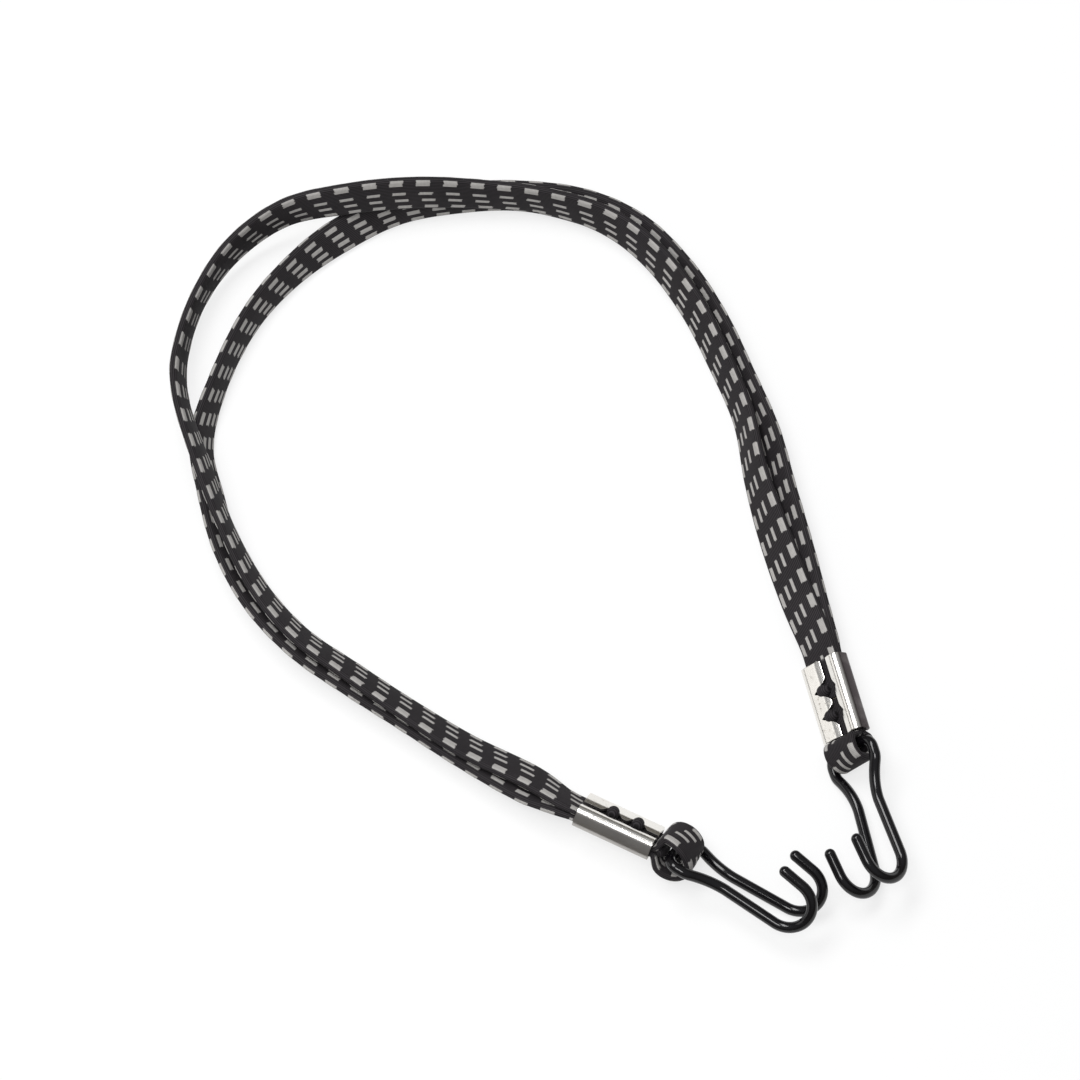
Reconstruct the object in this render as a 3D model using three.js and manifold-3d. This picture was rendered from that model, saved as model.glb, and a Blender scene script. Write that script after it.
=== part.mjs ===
// An elastic tie-down strap: two runs of flat woven elastic band, pressed together at each end in a
// sheet-metal ferrule and looped as an eye around the bight of a coated wire double hook.
// Millimetres, +Z up. The strap lies on the plane Z = 0, with the origin in the middle of its metalwork.
import * as THREE from 'three';
import { mergeVertices } from 'three/addons/utils/BufferGeometryUtils.js';
import Module from 'manifold-3d';

const wasm = await Module();
wasm.setup();

// Gap kept between pieces that touch
const CLEARANCE = 0.3;

// Woven elastic band: a tubular cover over a strip of rubber threads
const BAND_WIDTH = 12;
const BAND_THICKNESS = 2.2;
const BAND_CORNER = 0.6;
const COVER_WALL = 0.45;
const BAND_PRESSED = 1.7; // thickness where a ferrule grips the band
const PRESS_EASING = 6; // length over which the band swells again outside the ferrule

// Ferrule: one sheet folded round both bands, its two toothed lips turned in along an open seam
const FERRULE_LENGTH = 24;
const FERRULE_SHEET = 0.9;
const FERRULE_CORNER = 2.2; // outer radius of the long folds
const FERRULE_SIDE_PLAY = 0.5;
const LIP_DIP = 0.75; // how far the lips turn in
const LIP_LAND = 0.1; // flat left between the outer fold and the lip's turn
const SEAM_GAP = 2.2;
const SEAM_SHIFT = 1.7; // seam centre, outward from the middle of the face
const TOOTH_COUNT = 3;
const NOTCH_SHARPNESS = 1.5; // above 1 the teeth between the notches are rounded
const NOTCH_SHIFT = 0.9; // both rows of notches sit forward from the even pitch, towards the hook
const DEEP_NOTCH = 5; // cut into the lip on the inner side
const DEEP_NOTCH_WIDTH = 7.2;
const SHALLOW_NOTCH = 1.2; // cut into the lip on the outer side
const SHALLOW_NOTCH_WIDTH = 4.6;

// Eye: the loop of band beyond the ferrule
const EYE_RISE = 0.8; // of the eye's centre above the middle of the two bands
const EYE_WRAP = 240; // degrees of full roundness
const EYE_LEAD = 0.7; // straight stretch outside the ferrule's mouth
const TWIST_FADE = 0.65; // how fast an eye's twist dies away from its far end towards the ferrule

// Double hook: one steel wire in a plastic coat, bent to a bight and two J-shaped legs
const WIRE_DIAMETER = 2.1;
const COAT_THICKNESS = 0.4;
const COAT_GAP = 0.2;
const BIGHT_BEND = 3; // centreline radius
const BIGHT_SIDE_PLAY = 1.1; // between a leg and the band's edge
const LEG_LENGTH = 35.3; // from the bight to the start of the J
const LEG_SPACING = 11.7; // between the wire's centrelines at the J
const WAIST_SPACING = 8.9; // where the legs are closest
const TAPER_START = 4.6; // where the legs start to draw together
const TAPER_END = 18;
const TAPER_KNEE = 0.2; // share of the taper in which the legs bend inwards
const J_RADIUS = 7.5; // centreline radius
const TIP_LENGTH = 8.15;
const TIP_SPLAY = 10; // degrees that the tip opens away from the leg

// Each end: the ferrule's hook-side mouth on the ground, its heading, the lean of its outer edge and the
// side that edge is on (1 left of the heading is outward, -1 inward). Then the eye's lift off the ground,
// its bore, its reach from the mouth and its twist there, where the bight sits in it, and how far the hook
// droops and rolls
const ENDS = {
  left: {
    x: -24, y: -15.3, heading: -25.9, lean: 50, side: -1,
    lift: 0.1, eyeBore: 9.4, eyeReach: 6.2, eyeTwist: -26, bightShift: 0.2, droop: 7.2, roll: -4,
  },
  right: {
    x: 32.3, y: 17.3, heading: -74.9, lean: 44, side: 1,
    lift: 0.9, eyeBore: 6.6, eyeReach: 4.1, eyeTwist: 5, bightShift: -0.4, droop: 2.2, roll: 7,
  },
};

// The free runs from the left ferrule round to the right one: x, y, height of the lower edge, and lean
// in degrees. Run A is the inner run at both ends, and crosses over run B on the left side and at the top.
const RUN_A = [
  [-59.8, 5.1, 2.9, 42], [-79.3, 15.3, 2.2, 42], [-97.5, 27, 2.2, 47], [-113.5, 38.5, 1.4, 50],
  [-129, 49.8, 1.9, 55], [-141.2, 64, 3.1, 62], [-150.7, 81.3, 6.6, 70], [-158.3, 100.4, 11.4, 69],
  [-165.1, 121.4, 11.4, 75], [-166, 138.2, 5.6, 81], [-161.1, 157.5, 3.2, 84], [-150.9, 173.1, 4.5, 79],
  [-135.7, 183.5, 7.7, 76], [-116.5, 186.9, 10.9, 68], [-96.3, 190.2, 8.4, 67], [-76.4, 191.1, 5.4, 73],
  [-56.3, 189.5, 4, 79], [-37.2, 183.1, 3.1, 72], [-23.8, 172.7, 2.1, 68], [-12, 156.6, 1.2, 64],
  [-3.5, 138.6, 0.5, 65], [3.6, 119.7, 0.1, 68], [7.1, 100.6, 0.1, 62], [12.2, 81.7, 0.9, 47],
  [18.4, 62.2, 2.2, 40],
];
const RUN_B = [
  [-61.2, 1.4, 1.3, 43], [-79.3, 12.8, 0.2, 40], [-96.3, 24, 0.1, 43], [-112.7, 34.6, 0.1, 46],
  [-128.6, 45.7, 0.1, 50], [-141.6, 59.7, 0.1, 52], [-150.6, 76.2, 0.1, 53], [-156.1, 94.9, 0.1, 55],
  [-159.3, 111, 0.1, 63], [-154.8, 130.5, 0.3, 76], [-145.2, 152.1, 0.3, 75], [-133.2, 167.5, 0.3, 67],
  [-118.6, 180.1, 0.1, 54], [-101.7, 188.8, 0.1, 60], [-82.4, 192.2, 0.3, 67], [-62.4, 192.8, 0.1, 68],
  [-42.6, 189.1, 0.1, 50], [-27.4, 181.2, 0.1, 57], [-13.9, 166.7, 0.1, 62], [-4, 149.9, 0.3, 63],
  [3.4, 132.4, 0.2, 62], [10.6, 113.6, 0.3, 60], [15.1, 94.4, 0.3, 56], [19.5, 75.5, 0.8, 51],
  [23.4, 56.9, 1.5, 46],
];

// Resolution
const RUN_STEPS = 54;
const EYE_STEPS = 48;
const WIRE_SIDES = 6;
const COAT_SIDES = 8;
const FOLD_STEPS = 5;
const LIP_STEPS = 4;
const NOTCH_STEPS = 5;
const EYE_RAIL_STEPS = 8;
const BIGHT_STEPS = 3;
const BEND_STEPS = 5;
const TAPER_STEPS = 8;
const J_STEPS = 12;
const TIP_STEPS = 3;
const TIP_CAP = 80; // degrees of roundness at a hook's tip

const coatRadius = WIRE_DIAMETER / 2 + COAT_GAP + COAT_THICKNESS;
const pressedRatio = BAND_PRESSED / BAND_THICKNESS;
const ferruleBoreWidth = BAND_WIDTH + 2 * FERRULE_SIDE_PLAY;
const ferruleBoreHeight = 2 * BAND_PRESSED + 3 * CLEARANCE + LIP_DIP;
const ferruleBoreCorner = FERRULE_CORNER - FERRULE_SHEET;
// How far from the seam the lips start to turn in
const lipReach = ferruleBoreWidth / 2 - ferruleBoreCorner - SEAM_SHIFT - LIP_LAND;
// Heights of the two pressed bands in the ferrule, from its middle
const lowerBand = -ferruleBoreHeight / 2 + CLEARANCE + BAND_PRESSED / 2;
const upperBand = lowerBand + BAND_PRESSED + CLEARANCE;
const bandMiddle = (lowerBand + upperBand) / 2;
const eyeHeight = bandMiddle + EYE_RISE;
// The bands' cut ends meet in the middle of the ferrule, and the bands spread where they swell outside it
const bandEnd = FERRULE_LENGTH / 2 + CLEARANCE / 2;
const swollenShift = (BAND_THICKNESS - BAND_PRESSED) / 2;

const degrees = THREE.MathUtils.degToRad;
const ease = THREE.MathUtils.smoothstep;

const materials = {
  cover: new THREE.MeshStandardMaterial({ color: 0x232022, roughness: 0.75 }),
  rubber: new THREE.MeshStandardMaterial({ color: 0xb7a184, roughness: 0.8 }),
  ferrule: new THREE.MeshStandardMaterial({ color: 0xcfccc8, roughness: 0.25, metalness: 1 }),
  wire: new THREE.MeshStandardMaterial({ color: 0x8d8f92, roughness: 0.35, metalness: 1 }),
  coat: new THREE.MeshStandardMaterial({ color: 0x121114, roughness: 0.18 }),
};

function namedMesh(name, geometry, material) {
  const mesh = new THREE.Mesh(geometry, material);
  mesh.name = name;
  return mesh;
}

// A closed mesh swept through rings of equal length, with an optional hole swept along inside it
function sweep(stations, outline, hole = []) {
  const loops = [outline, hole].filter((loop) => loop.length);
  const perRing = outline.length + hole.length;
  const positions = [];
  for (const { origin, across, normal, scaleAcross, scaleNormal } of stations) {
    for (const [a, n] of loops.flat()) {
      const point = origin.clone();
      point.addScaledVector(across, a * scaleAcross);
      point.addScaledVector(normal, n * scaleNormal);
      positions.push(point.x, point.y, point.z);
    }
  }
  const faces = [];
  let first = 0;
  loops.forEach((loop, which) => {
    for (let ring = 0; ring < stations.length - 1; ring++) {
      for (let k = 0; k < loop.length; k++) {
        const a = ring * perRing + first + k;
        const b = ring * perRing + first + ((k + 1) % loop.length);
        const quad = [a, b, b + perRing, a, b + perRing, a + perRing];
        faces.push(...(which ? quad.reverse() : quad));
      }
    }
    first += loop.length;
  });
  const toVectors = (loop) => loop.map(([a, n]) => new THREE.Vector2(a, n));
  const holes = hole.length ? [toVectors(hole).reverse()] : [];
  const holeIndex = (i) => (i < outline.length ? i : outline.length + perRing - 1 - i);
  const last = (stations.length - 1) * perRing;
  for (const cap of THREE.ShapeUtils.triangulateShape(toVectors(outline), holes)) {
    const [a, b, c] = cap.map(holeIndex);
    faces.push(c, b, a, last + a, last + b, last + c);
  }
  const geometry = new THREE.BufferGeometry();
  geometry.setAttribute('position', new THREE.Float32BufferAttribute(positions, 3));
  geometry.setIndex(faces);
  return geometry;
}

function toSolid(geometry) {
  const bare = new THREE.BufferGeometry();
  bare.setAttribute('position', geometry.getAttribute('position').clone());
  if (geometry.index) {
    bare.setIndex(geometry.index.clone());
  }
  const merged = mergeVertices(bare, 1e-5);
  const vertProperties = new Float32Array(merged.getAttribute('position').array);
  const triVerts = new Uint32Array(merged.index.array);
  return new wasm.Manifold(new wasm.Mesh({ numProp: 3, vertProperties, triVerts }));
}

function fromSolid(solid) {
  const mesh = solid.getMesh();
  const geometry = new THREE.BufferGeometry();
  geometry.setAttribute('position', new THREE.Float32BufferAttribute(mesh.vertProperties, 3));
  geometry.setIndex(Array.from(mesh.triVerts));
  return geometry;
}

// Rectangles, counter-clockwise
function rectangle(width, height) {
  const w = width / 2;
  const h = height / 2;
  return [[w, -h], [w, h], [-w, h], [-w, -h]];
}

function cutRectangle(width, height, corner) {
  const w = width / 2;
  const h = height / 2;
  return [
    [w - corner, -h], [w, -h + corner], [w, h - corner], [w - corner, h],
    [-w + corner, h], [-w, h - corner], [-w, -h + corner], [-w + corner, -h],
  ];
}

function polygon(radius, sides) {
  return Array.from({ length: sides }, (_, k) => {
    const angle = (2 * Math.PI * k) / sides;
    return [radius * Math.cos(angle), radius * Math.sin(angle)];
  });
}

const boreWidth = BAND_WIDTH - 2 * COVER_WALL;
const boreHeight = BAND_THICKNESS - 2 * COVER_WALL;
const coverOutline = cutRectangle(BAND_WIDTH, BAND_THICKNESS, BAND_CORNER);
const coverBore = rectangle(boreWidth, boreHeight);
const coreOutline = rectangle(boreWidth - 2 * CLEARANCE, boreHeight - 2 * CLEARANCE);

// Height of a leaning band's centre above its lowest corner, or of an eye's centre above its lowest point
function restHeight(tilt, radius = 0) {
  const depth = ([across, normal]) => across * Math.sin(tilt) + (normal + radius) * Math.cos(tilt);
  return Math.max(...coverOutline.map(depth));
}

function eyeRadius({ eyeBore }) {
  return (eyeBore + BAND_THICKNESS) / 2;
}

// The frame of one end: the mouth of its ferrule, with X towards the hook and Z out of the toothed face
function makeEndFrame(values) {
  const { x, y, heading, lean, side, lift } = values;
  const tilt = degrees(lean);
  const frame = new THREE.Group();
  frame.position.set(x, y, lift + restHeight(tilt, eyeRadius(values)) - eyeHeight * Math.cos(tilt));
  frame.rotation.set(side * tilt, 0, degrees(heading), 'ZYX');
  frame.updateMatrixWorld();
  return frame;
}

// Rails of a band: its centre and its outer edge
function ferruleRails(frame, side, height, along) {
  const centre = frame.localToWorld(new THREE.Vector3(along, 0, height));
  const edge = frame.localToWorld(new THREE.Vector3(along, (side * BAND_WIDTH) / 2, height));
  return { centre, edge };
}

function groundRails(points) {
  return points.map(([x, y, lift, lean], k) => {
    const tilt = degrees(lean);
    const [nextX, nextY] = points[Math.min(k + 1, points.length - 1)];
    const [lastX, lastY] = points[Math.max(k - 1, 0)];
    const outward = new THREE.Vector3(lastY - nextY, nextX - lastX, 0).normalize();
    const centre = new THREE.Vector3(x, y, lift + restHeight(tilt));
    const edge = centre.clone().addScaledVector(outward, (BAND_WIDTH / 2) * Math.cos(tilt));
    edge.z += (BAND_WIDTH / 2) * Math.sin(tilt);
    return { centre, edge };
  });
}

// Stations along a band between two rails, pressed thin where a ferrule grips it
function bandStations(rails, steps, grips) {
  const middle = new THREE.CatmullRomCurve3(rails.map(({ centre }) => centre));
  const border = new THREE.CatmullRomCurve3(rails.map(({ edge }) => edge));
  middle.arcLengthDivisions = steps * 6;
  const length = middle.getLength();
  return Array.from({ length: steps + 1 }, (_, k) => {
    const t = middle.getUtoTmapping(k / steps);
    const origin = middle.getPoint(t);
    const tangent = middle.getTangent(t);
    const across = border.getPoint(t).sub(origin);
    across.addScaledVector(tangent, -across.dot(tangent)).normalize();
    const normal = new THREE.Vector3().crossVectors(tangent, across);
    const fromEnd = Math.min(k / steps, 1 - k / steps) * length;
    const swell = ease(fromEnd, grips, grips + PRESS_EASING);
    const scaleNormal = pressedRatio + (1 - pressedRatio) * swell;
    return { origin, across, normal, scaleAcross: 1, scaleNormal };
  });
}

function makeRun(name, points, height, frames) {
  const swollen = height + Math.sign(height - bandMiddle) * swollenShift;
  const gripped = (end) => {
    const at = (along, level) => ferruleRails(frames[end], ENDS[end].side, level, along);
    const mouth = -FERRULE_LENGTH + CLEARANCE;
    return [at(-bandEnd, height), at(mouth, height), at(-FERRULE_LENGTH - PRESS_EASING, swollen)];
  };
  const rails = [...gripped('left'), ...groundRails(points), ...gripped('right').reverse()];
  const stations = bandStations(rails, RUN_STEPS, FERRULE_LENGTH - bandEnd);
  return [
    namedMesh(`band_cover_run_${name}`, sweep(stations, coverOutline, coverBore), materials.cover),
    namedMesh(`rubber_core_run_${name}`, sweep(stations, coreOutline), materials.rubber),
  ];
}

// The eye's loop in its end's frame, from the upper band round to the lower one
function makeEye(end) {
  const radius = eyeRadius(ENDS[end]);
  const { side, eyeReach, eyeTwist } = ENDS[end];
  const turn = (along, height) => ({
    centre: new THREE.Vector3(along, 0, height),
    edge: new THREE.Vector3(along, BAND_WIDTH / 2, height),
  });
  const lengthwise = new THREE.Vector3(1, 0, 0);
  const middle = new THREE.Vector3(eyeReach, 0, eyeHeight);
  const arc = Array.from({ length: EYE_RAIL_STEPS + 1 }, (_, k) => {
    const angle = degrees(EYE_WRAP / 2 - (k * EYE_WRAP) / EYE_RAIL_STEPS);
    const rails = turn(radius * Math.cos(angle), radius * Math.sin(angle));
    const twist = side * degrees(eyeTwist) * Math.cos(TWIST_FADE * angle);
    for (const point of Object.values(rails)) {
      point.applyAxisAngle(lengthwise, twist).add(middle);
    }
    return rails;
  });
  const gripped = FERRULE_LENGTH - bandEnd;
  const leadIn = [-gripped, -gripped / 2, -EYE_LEAD, EYE_LEAD];
  const lead = (height) => leadIn.map((along) => turn(along, height));
  const rails = [...lead(upperBand), ...arc, ...lead(lowerBand).reverse()];
  const stations = bandStations(rails, EYE_STEPS, gripped + EYE_LEAD);
  return [
    namedMesh(`band_cover_eye_${end}`, sweep(stations, coverOutline, coverBore), materials.cover),
    namedMesh(`rubber_core_eye_${end}`, sweep(stations, coreOutline), materials.rubber),
  ];
}

// A rounded rectangle whose upper side dips at the seam, as the ferrule's inner or outer wall
function ferruleWall(width, height, corner, seam) {
  const w = width / 2;
  const h = height / 2;
  const points = [];
  const corners = [[w - corner, -h + corner, -90], [w - corner, h - corner, 0]];
  const mirrored = [[-w + corner, h - corner, 90], [-w + corner, -h + corner, 180]];
  const fold = ([x, y, start]) => {
    for (let k = 0; k <= FOLD_STEPS; k++) {
      const angle = degrees(start + (90 * k) / FOLD_STEPS);
      points.push(new THREE.Vector2(x + corner * Math.cos(angle), y + corner * Math.sin(angle)));
    }
  };
  corners.forEach(fold);
  for (let k = -LIP_STEPS; k <= LIP_STEPS; k++) {
    const reach = (lipReach * k) / LIP_STEPS;
    const dip = LIP_DIP * (1 - ease(Math.abs(reach), 0, lipReach));
    points.push(new THREE.Vector2(seam - reach, h - dip));
  }
  mirrored.forEach(fold);
  return points;
}

// The open seam seen from above its face: two toothed edges with the gap between them
function seamOutline(side, seam) {
  const over = CLEARANCE;
  const pitch = FERRULE_LENGTH / TOOTH_COUNT;
  const edge = (direction, depth, width) => {
    const lip = seam + direction * (SEAM_GAP / 2);
    const row = [new THREE.Vector2(-FERRULE_LENGTH - over, lip)];
    for (let k = 1; k < TOOTH_COUNT; k++) {
      const middle = -FERRULE_LENGTH + k * pitch + NOTCH_SHIFT;
      for (let step = -NOTCH_STEPS; step <= NOTCH_STEPS; step++) {
        const cut = depth * (1 - Math.abs(step) / NOTCH_STEPS) ** NOTCH_SHARPNESS;
        const along = middle + (width * step) / (2 * NOTCH_STEPS);
        row.push(new THREE.Vector2(along, lip + direction * cut));
      }
    }
    row.push(new THREE.Vector2(over, lip));
    return row;
  };
  const innerLip = edge(-side, DEEP_NOTCH, DEEP_NOTCH_WIDTH);
  const outerLip = edge(side, SHALLOW_NOTCH, SHALLOW_NOTCH_WIDTH);
  return [...innerLip, ...outerLip.reverse()];
}

function makeFerrule(end, side) {
  const seam = side * SEAM_SHIFT;
  const width = ferruleBoreWidth + 2 * FERRULE_SHEET;
  const height = ferruleBoreHeight + 2 * FERRULE_SHEET;
  const wall = new THREE.Shape(ferruleWall(width, height, FERRULE_CORNER, seam));
  const bore = ferruleWall(ferruleBoreWidth, ferruleBoreHeight, ferruleBoreCorner, seam);
  wall.holes.push(new THREE.Path(bore));
  const tube = new THREE.ExtrudeGeometry(wall, { depth: FERRULE_LENGTH, bevelEnabled: false });
  // The section's X is across the band and its Y out of the toothed face
  const toFrame = new THREE.Matrix4().makeBasis(
    new THREE.Vector3(0, 1, 0), new THREE.Vector3(0, 0, 1), new THREE.Vector3(1, 0, 0));
  tube.applyMatrix4(toFrame);
  tube.translate(-FERRULE_LENGTH, 0, 0);
  const seamShape = new THREE.Shape(seamOutline(side, seam));
  const cutter = new THREE.ExtrudeGeometry(seamShape, { depth: height, bevelEnabled: false });
  const geometry = fromSolid(toSolid(tube).subtract(toSolid(cutter)));
  return namedMesh(`ferrule_${end}`, geometry, materials.ferrule);
}

// How far a leg has come in at a share of its taper: a short bend inwards, then a long one back
function drawnIn(share) {
  return share < TAPER_KNEE ? share ** 2 / TAPER_KNEE : 1 - (1 - share) ** 2 / (1 - TAPER_KNEE);
}

// Half of the hook's wire from the middle of the bight to one tip, on its own side of the hook
function legPath(side, tipTrim) {
  const bight = BAND_WIDTH / 2 + BIGHT_SIDE_PLAY + coatRadius;
  const points = [];
  const add = (along, across, height) => points.push(new THREE.Vector3(along, side * across, height));
  for (let k = 0; k < BIGHT_STEPS; k++) {
    add(0, ((bight - BIGHT_BEND) * k) / BIGHT_STEPS, 0);
  }
  for (let k = 0; k <= BEND_STEPS; k++) {
    const angle = degrees((90 * k) / BEND_STEPS);
    add(BIGHT_BEND * (1 - Math.cos(angle)), bight - BIGHT_BEND * (1 - Math.sin(angle)), 0);
  }
  for (let k = 0; k <= TAPER_STEPS; k++) {
    const share = k / TAPER_STEPS;
    const along = TAPER_START + (TAPER_END - TAPER_START) * share;
    add(along, bight + (WAIST_SPACING / 2 - bight) * drawnIn(share), 0);
  }
  const sweepAngle = 180 - TIP_SPLAY;
  for (let k = 0; k <= J_STEPS; k++) {
    const angle = degrees((sweepAngle * k) / J_STEPS);
    add(LEG_LENGTH + J_RADIUS * Math.sin(angle), LEG_SPACING / 2, J_RADIUS * (1 - Math.cos(angle)));
  }
  const end = points.at(-1);
  const heading = degrees(sweepAngle);
  const reach = TIP_LENGTH - tipTrim;
  add(end.x + reach * Math.cos(heading), LEG_SPACING / 2, end.z + reach * Math.sin(heading));
  return points;
}

// Stations along a bent wire, carried from point to point without twist
function wireStations(points, roundedTip = 0) {
  const tangents = points.map((_, k) => {
    const next = points[Math.min(k + 1, points.length - 1)];
    return next.clone().sub(points[Math.max(k - 1, 0)]).normalize();
  });
  const across = new THREE.Vector3(0, 0, 1);
  const stations = points.map((point, k) => {
    across.addScaledVector(tangents[k], -across.dot(tangents[k])).normalize();
    const normal = new THREE.Vector3().crossVectors(tangents[k], across);
    return { origin: point.clone(), across: across.clone(), normal, scaleAcross: 1, scaleNormal: 1 };
  });
  const tip = stations.at(-1);
  const tipSteps = roundedTip ? TIP_STEPS : 0;
  for (let k = 1; k <= tipSteps; k++) {
    const angle = degrees((TIP_CAP * k) / tipSteps);
    const origin = tip.origin.clone().addScaledVector(tangents.at(-1), roundedTip * Math.sin(angle));
    stations.push({ ...tip, origin, scaleAcross: Math.cos(angle), scaleNormal: Math.cos(angle) });
  }
  return stations;
}

function makeCoat(end, name, side) {
  const skin = legPath(side, coatRadius);
  skin[0].y = (side * CLEARANCE) / 2;
  const bore = legPath(side, coatRadius);
  bore[0].y = (-side * CLEARANCE) / 2;
  const outer = toSolid(sweep(wireStations(skin, coatRadius), polygon(coatRadius, COAT_SIDES)));
  const inner = toSolid(sweep(wireStations(bore), polygon(WIRE_DIAMETER / 2 + COAT_GAP, COAT_SIDES)));
  return namedMesh(`hook_coat_${end}_${name}`, fromSolid(outer.subtract(inner)), materials.coat);
}

function makeHook(end) {
  const { side, eyeReach, bightShift, droop, roll } = ENDS[end];
  const hook = new THREE.Group();
  hook.position.set(eyeReach + bightShift, 0, eyeHeight);
  hook.rotation.set(side * degrees(roll), degrees(droop), 0, 'YXZ');
  const trim = coatRadius + COAT_GAP;
  const oneLeg = legPath(-1, trim).reverse();
  const otherLeg = legPath(1, trim).slice(1);
  const wire = sweep(wireStations([...oneLeg, ...otherLeg]), polygon(WIRE_DIAMETER / 2, WIRE_SIDES));
  hook.add(namedMesh(`hook_wire_${end}`, wire, materials.wire));
  hook.add(makeCoat(end, 'outer', side));
  hook.add(makeCoat(end, 'inner', -side));
  return hook;
}

function makeStrap() {
  const strap = new THREE.Group();
  const frames = {};
  for (const [end, values] of Object.entries(ENDS)) {
    const frame = makeEndFrame(values);
    frame.add(makeFerrule(end, values.side), ...makeEye(end), makeHook(end));
    frames[end] = frame;
    strap.add(frame);
  }
  strap.add(...makeRun('a', RUN_A, upperBand, frames), ...makeRun('b', RUN_B, lowerBand, frames));
  return strap;
}

export default makeStrap();
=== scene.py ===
"""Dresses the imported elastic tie-down strap: woven bands, plated ferrules and dipped wire hooks."""
import logging
import math
from dataclasses import dataclass
from enum import Enum

import bmesh
import bpy
import numpy as np
from mathutils import Matrix, Vector


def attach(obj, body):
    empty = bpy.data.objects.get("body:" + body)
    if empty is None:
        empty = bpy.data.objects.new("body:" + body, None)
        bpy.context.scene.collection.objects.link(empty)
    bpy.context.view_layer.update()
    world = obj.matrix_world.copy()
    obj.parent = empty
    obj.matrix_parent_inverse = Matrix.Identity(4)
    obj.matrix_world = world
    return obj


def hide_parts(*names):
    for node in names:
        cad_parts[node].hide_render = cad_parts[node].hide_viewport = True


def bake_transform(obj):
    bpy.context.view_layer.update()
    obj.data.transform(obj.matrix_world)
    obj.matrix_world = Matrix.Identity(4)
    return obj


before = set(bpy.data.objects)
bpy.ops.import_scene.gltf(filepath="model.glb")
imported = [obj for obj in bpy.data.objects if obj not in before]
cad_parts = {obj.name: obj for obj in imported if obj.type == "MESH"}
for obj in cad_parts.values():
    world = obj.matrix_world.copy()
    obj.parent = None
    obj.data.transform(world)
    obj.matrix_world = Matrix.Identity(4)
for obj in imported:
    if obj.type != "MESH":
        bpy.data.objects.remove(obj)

log = logging.getLogger("strap")
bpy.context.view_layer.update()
MM = 0.001
Colour = tuple[float, float, float, float]
Triple = tuple[float, float, float]


def grey(red: float, green: float, blue: float) -> Colour:
    """Returns an opaque linear colour."""
    return (red, green, blue, 1.0)


def smoothstep(value: "np.ndarray | float", low: float, high: float) -> np.ndarray:
    """Eases a value from 0 at low to 1 at high.

    Args:
        value: numbers to ease.
        low: where the easing starts.
        high: where it ends.

    Returns:
        The eased numbers.
    """
    t = np.clip((np.asarray(value, float) - low) / (high - low), 0.0, 1.0)
    return t * t * (3.0 - 2.0 * t)


class End(Enum):
    """The two ends of the strap."""

    LEFT = "left"
    RIGHT = "right"


class Showing(Enum):
    """Which face of the band lies on the upper side of a run."""

    FRONT = 1
    BACK = -1


class Sock:
    """A node's output that works in Python arithmetic, adding a Math node for each step."""

    def __init__(self, shader: "Shader", socket: bpy.types.NodeSocket) -> None:
        """Wraps one output socket of a shader's tree."""
        self.shader = shader
        self.socket = socket

    def _math(self, operation: str, *values: "Sock | float") -> "Sock":
        """Adds one Math node on the given values."""
        return self.shader.add("ShaderNodeMath", {"operation": operation}, dict(enumerate(values)))

    def of(self, output: int | str) -> "Sock":
        """Returns another output of the same node."""
        return Sock(self.shader, self.socket.node.outputs[output])

    def __add__(self, other: "Sock | float") -> "Sock":
        """Adds."""
        return self._math("ADD", self, other)

    def __radd__(self, other: float) -> "Sock":
        """Adds, reflected."""
        return self._math("ADD", other, self)

    def __sub__(self, other: "Sock | float") -> "Sock":
        """Subtracts."""
        return self._math("SUBTRACT", self, other)

    def __rsub__(self, other: float) -> "Sock":
        """Subtracts, reflected."""
        return self._math("SUBTRACT", other, self)

    def __mul__(self, other: "Sock | float") -> "Sock":
        """Multiplies."""
        return self._math("MULTIPLY", self, other)

    def __rmul__(self, other: float) -> "Sock":
        """Multiplies, reflected."""
        return self._math("MULTIPLY", other, self)

    def __truediv__(self, other: "Sock | float") -> "Sock":
        """Divides."""
        return self._math("DIVIDE", self, other)

    def __rtruediv__(self, other: float) -> "Sock":
        """Divides, reflected."""
        return self._math("DIVIDE", other, self)

    def __abs__(self) -> "Sock":
        """Takes the size without the sign."""
        return self._math("ABSOLUTE", self)

    def __lt__(self, other: "Sock | float") -> "Sock":
        """Gives 1 where this is less than the other."""
        return self._math("LESS_THAN", self, other)

    def larger(self, other: "Sock") -> "Sock":
        """Returns the larger of two values."""
        return self._math("MAXIMUM", self, other)

    def fraction(self) -> "Sock":
        """Returns the part after the decimal point."""
        return self._math("FRACT", self)

    def floor(self) -> "Sock":
        """Returns the whole part."""
        return self._math("FLOOR", self)

    def wave(self, length: float) -> "Sock":
        """Waves between 0 and 1, with a crest at each whole length."""
        return self._math("COSINE", self * (math.tau / length)) * 0.5 + 0.5

    def ease(self, low: float, high: float) -> "Sock":
        """Eases from 0 at low to 1 at high."""
        settings = {"interpolation_type": "SMOOTHSTEP"}
        return self.shader.add("ShaderNodeMapRange", settings, {0: self, 1: low, 2: high, 3: 0.0, 4: 1.0})


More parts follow.
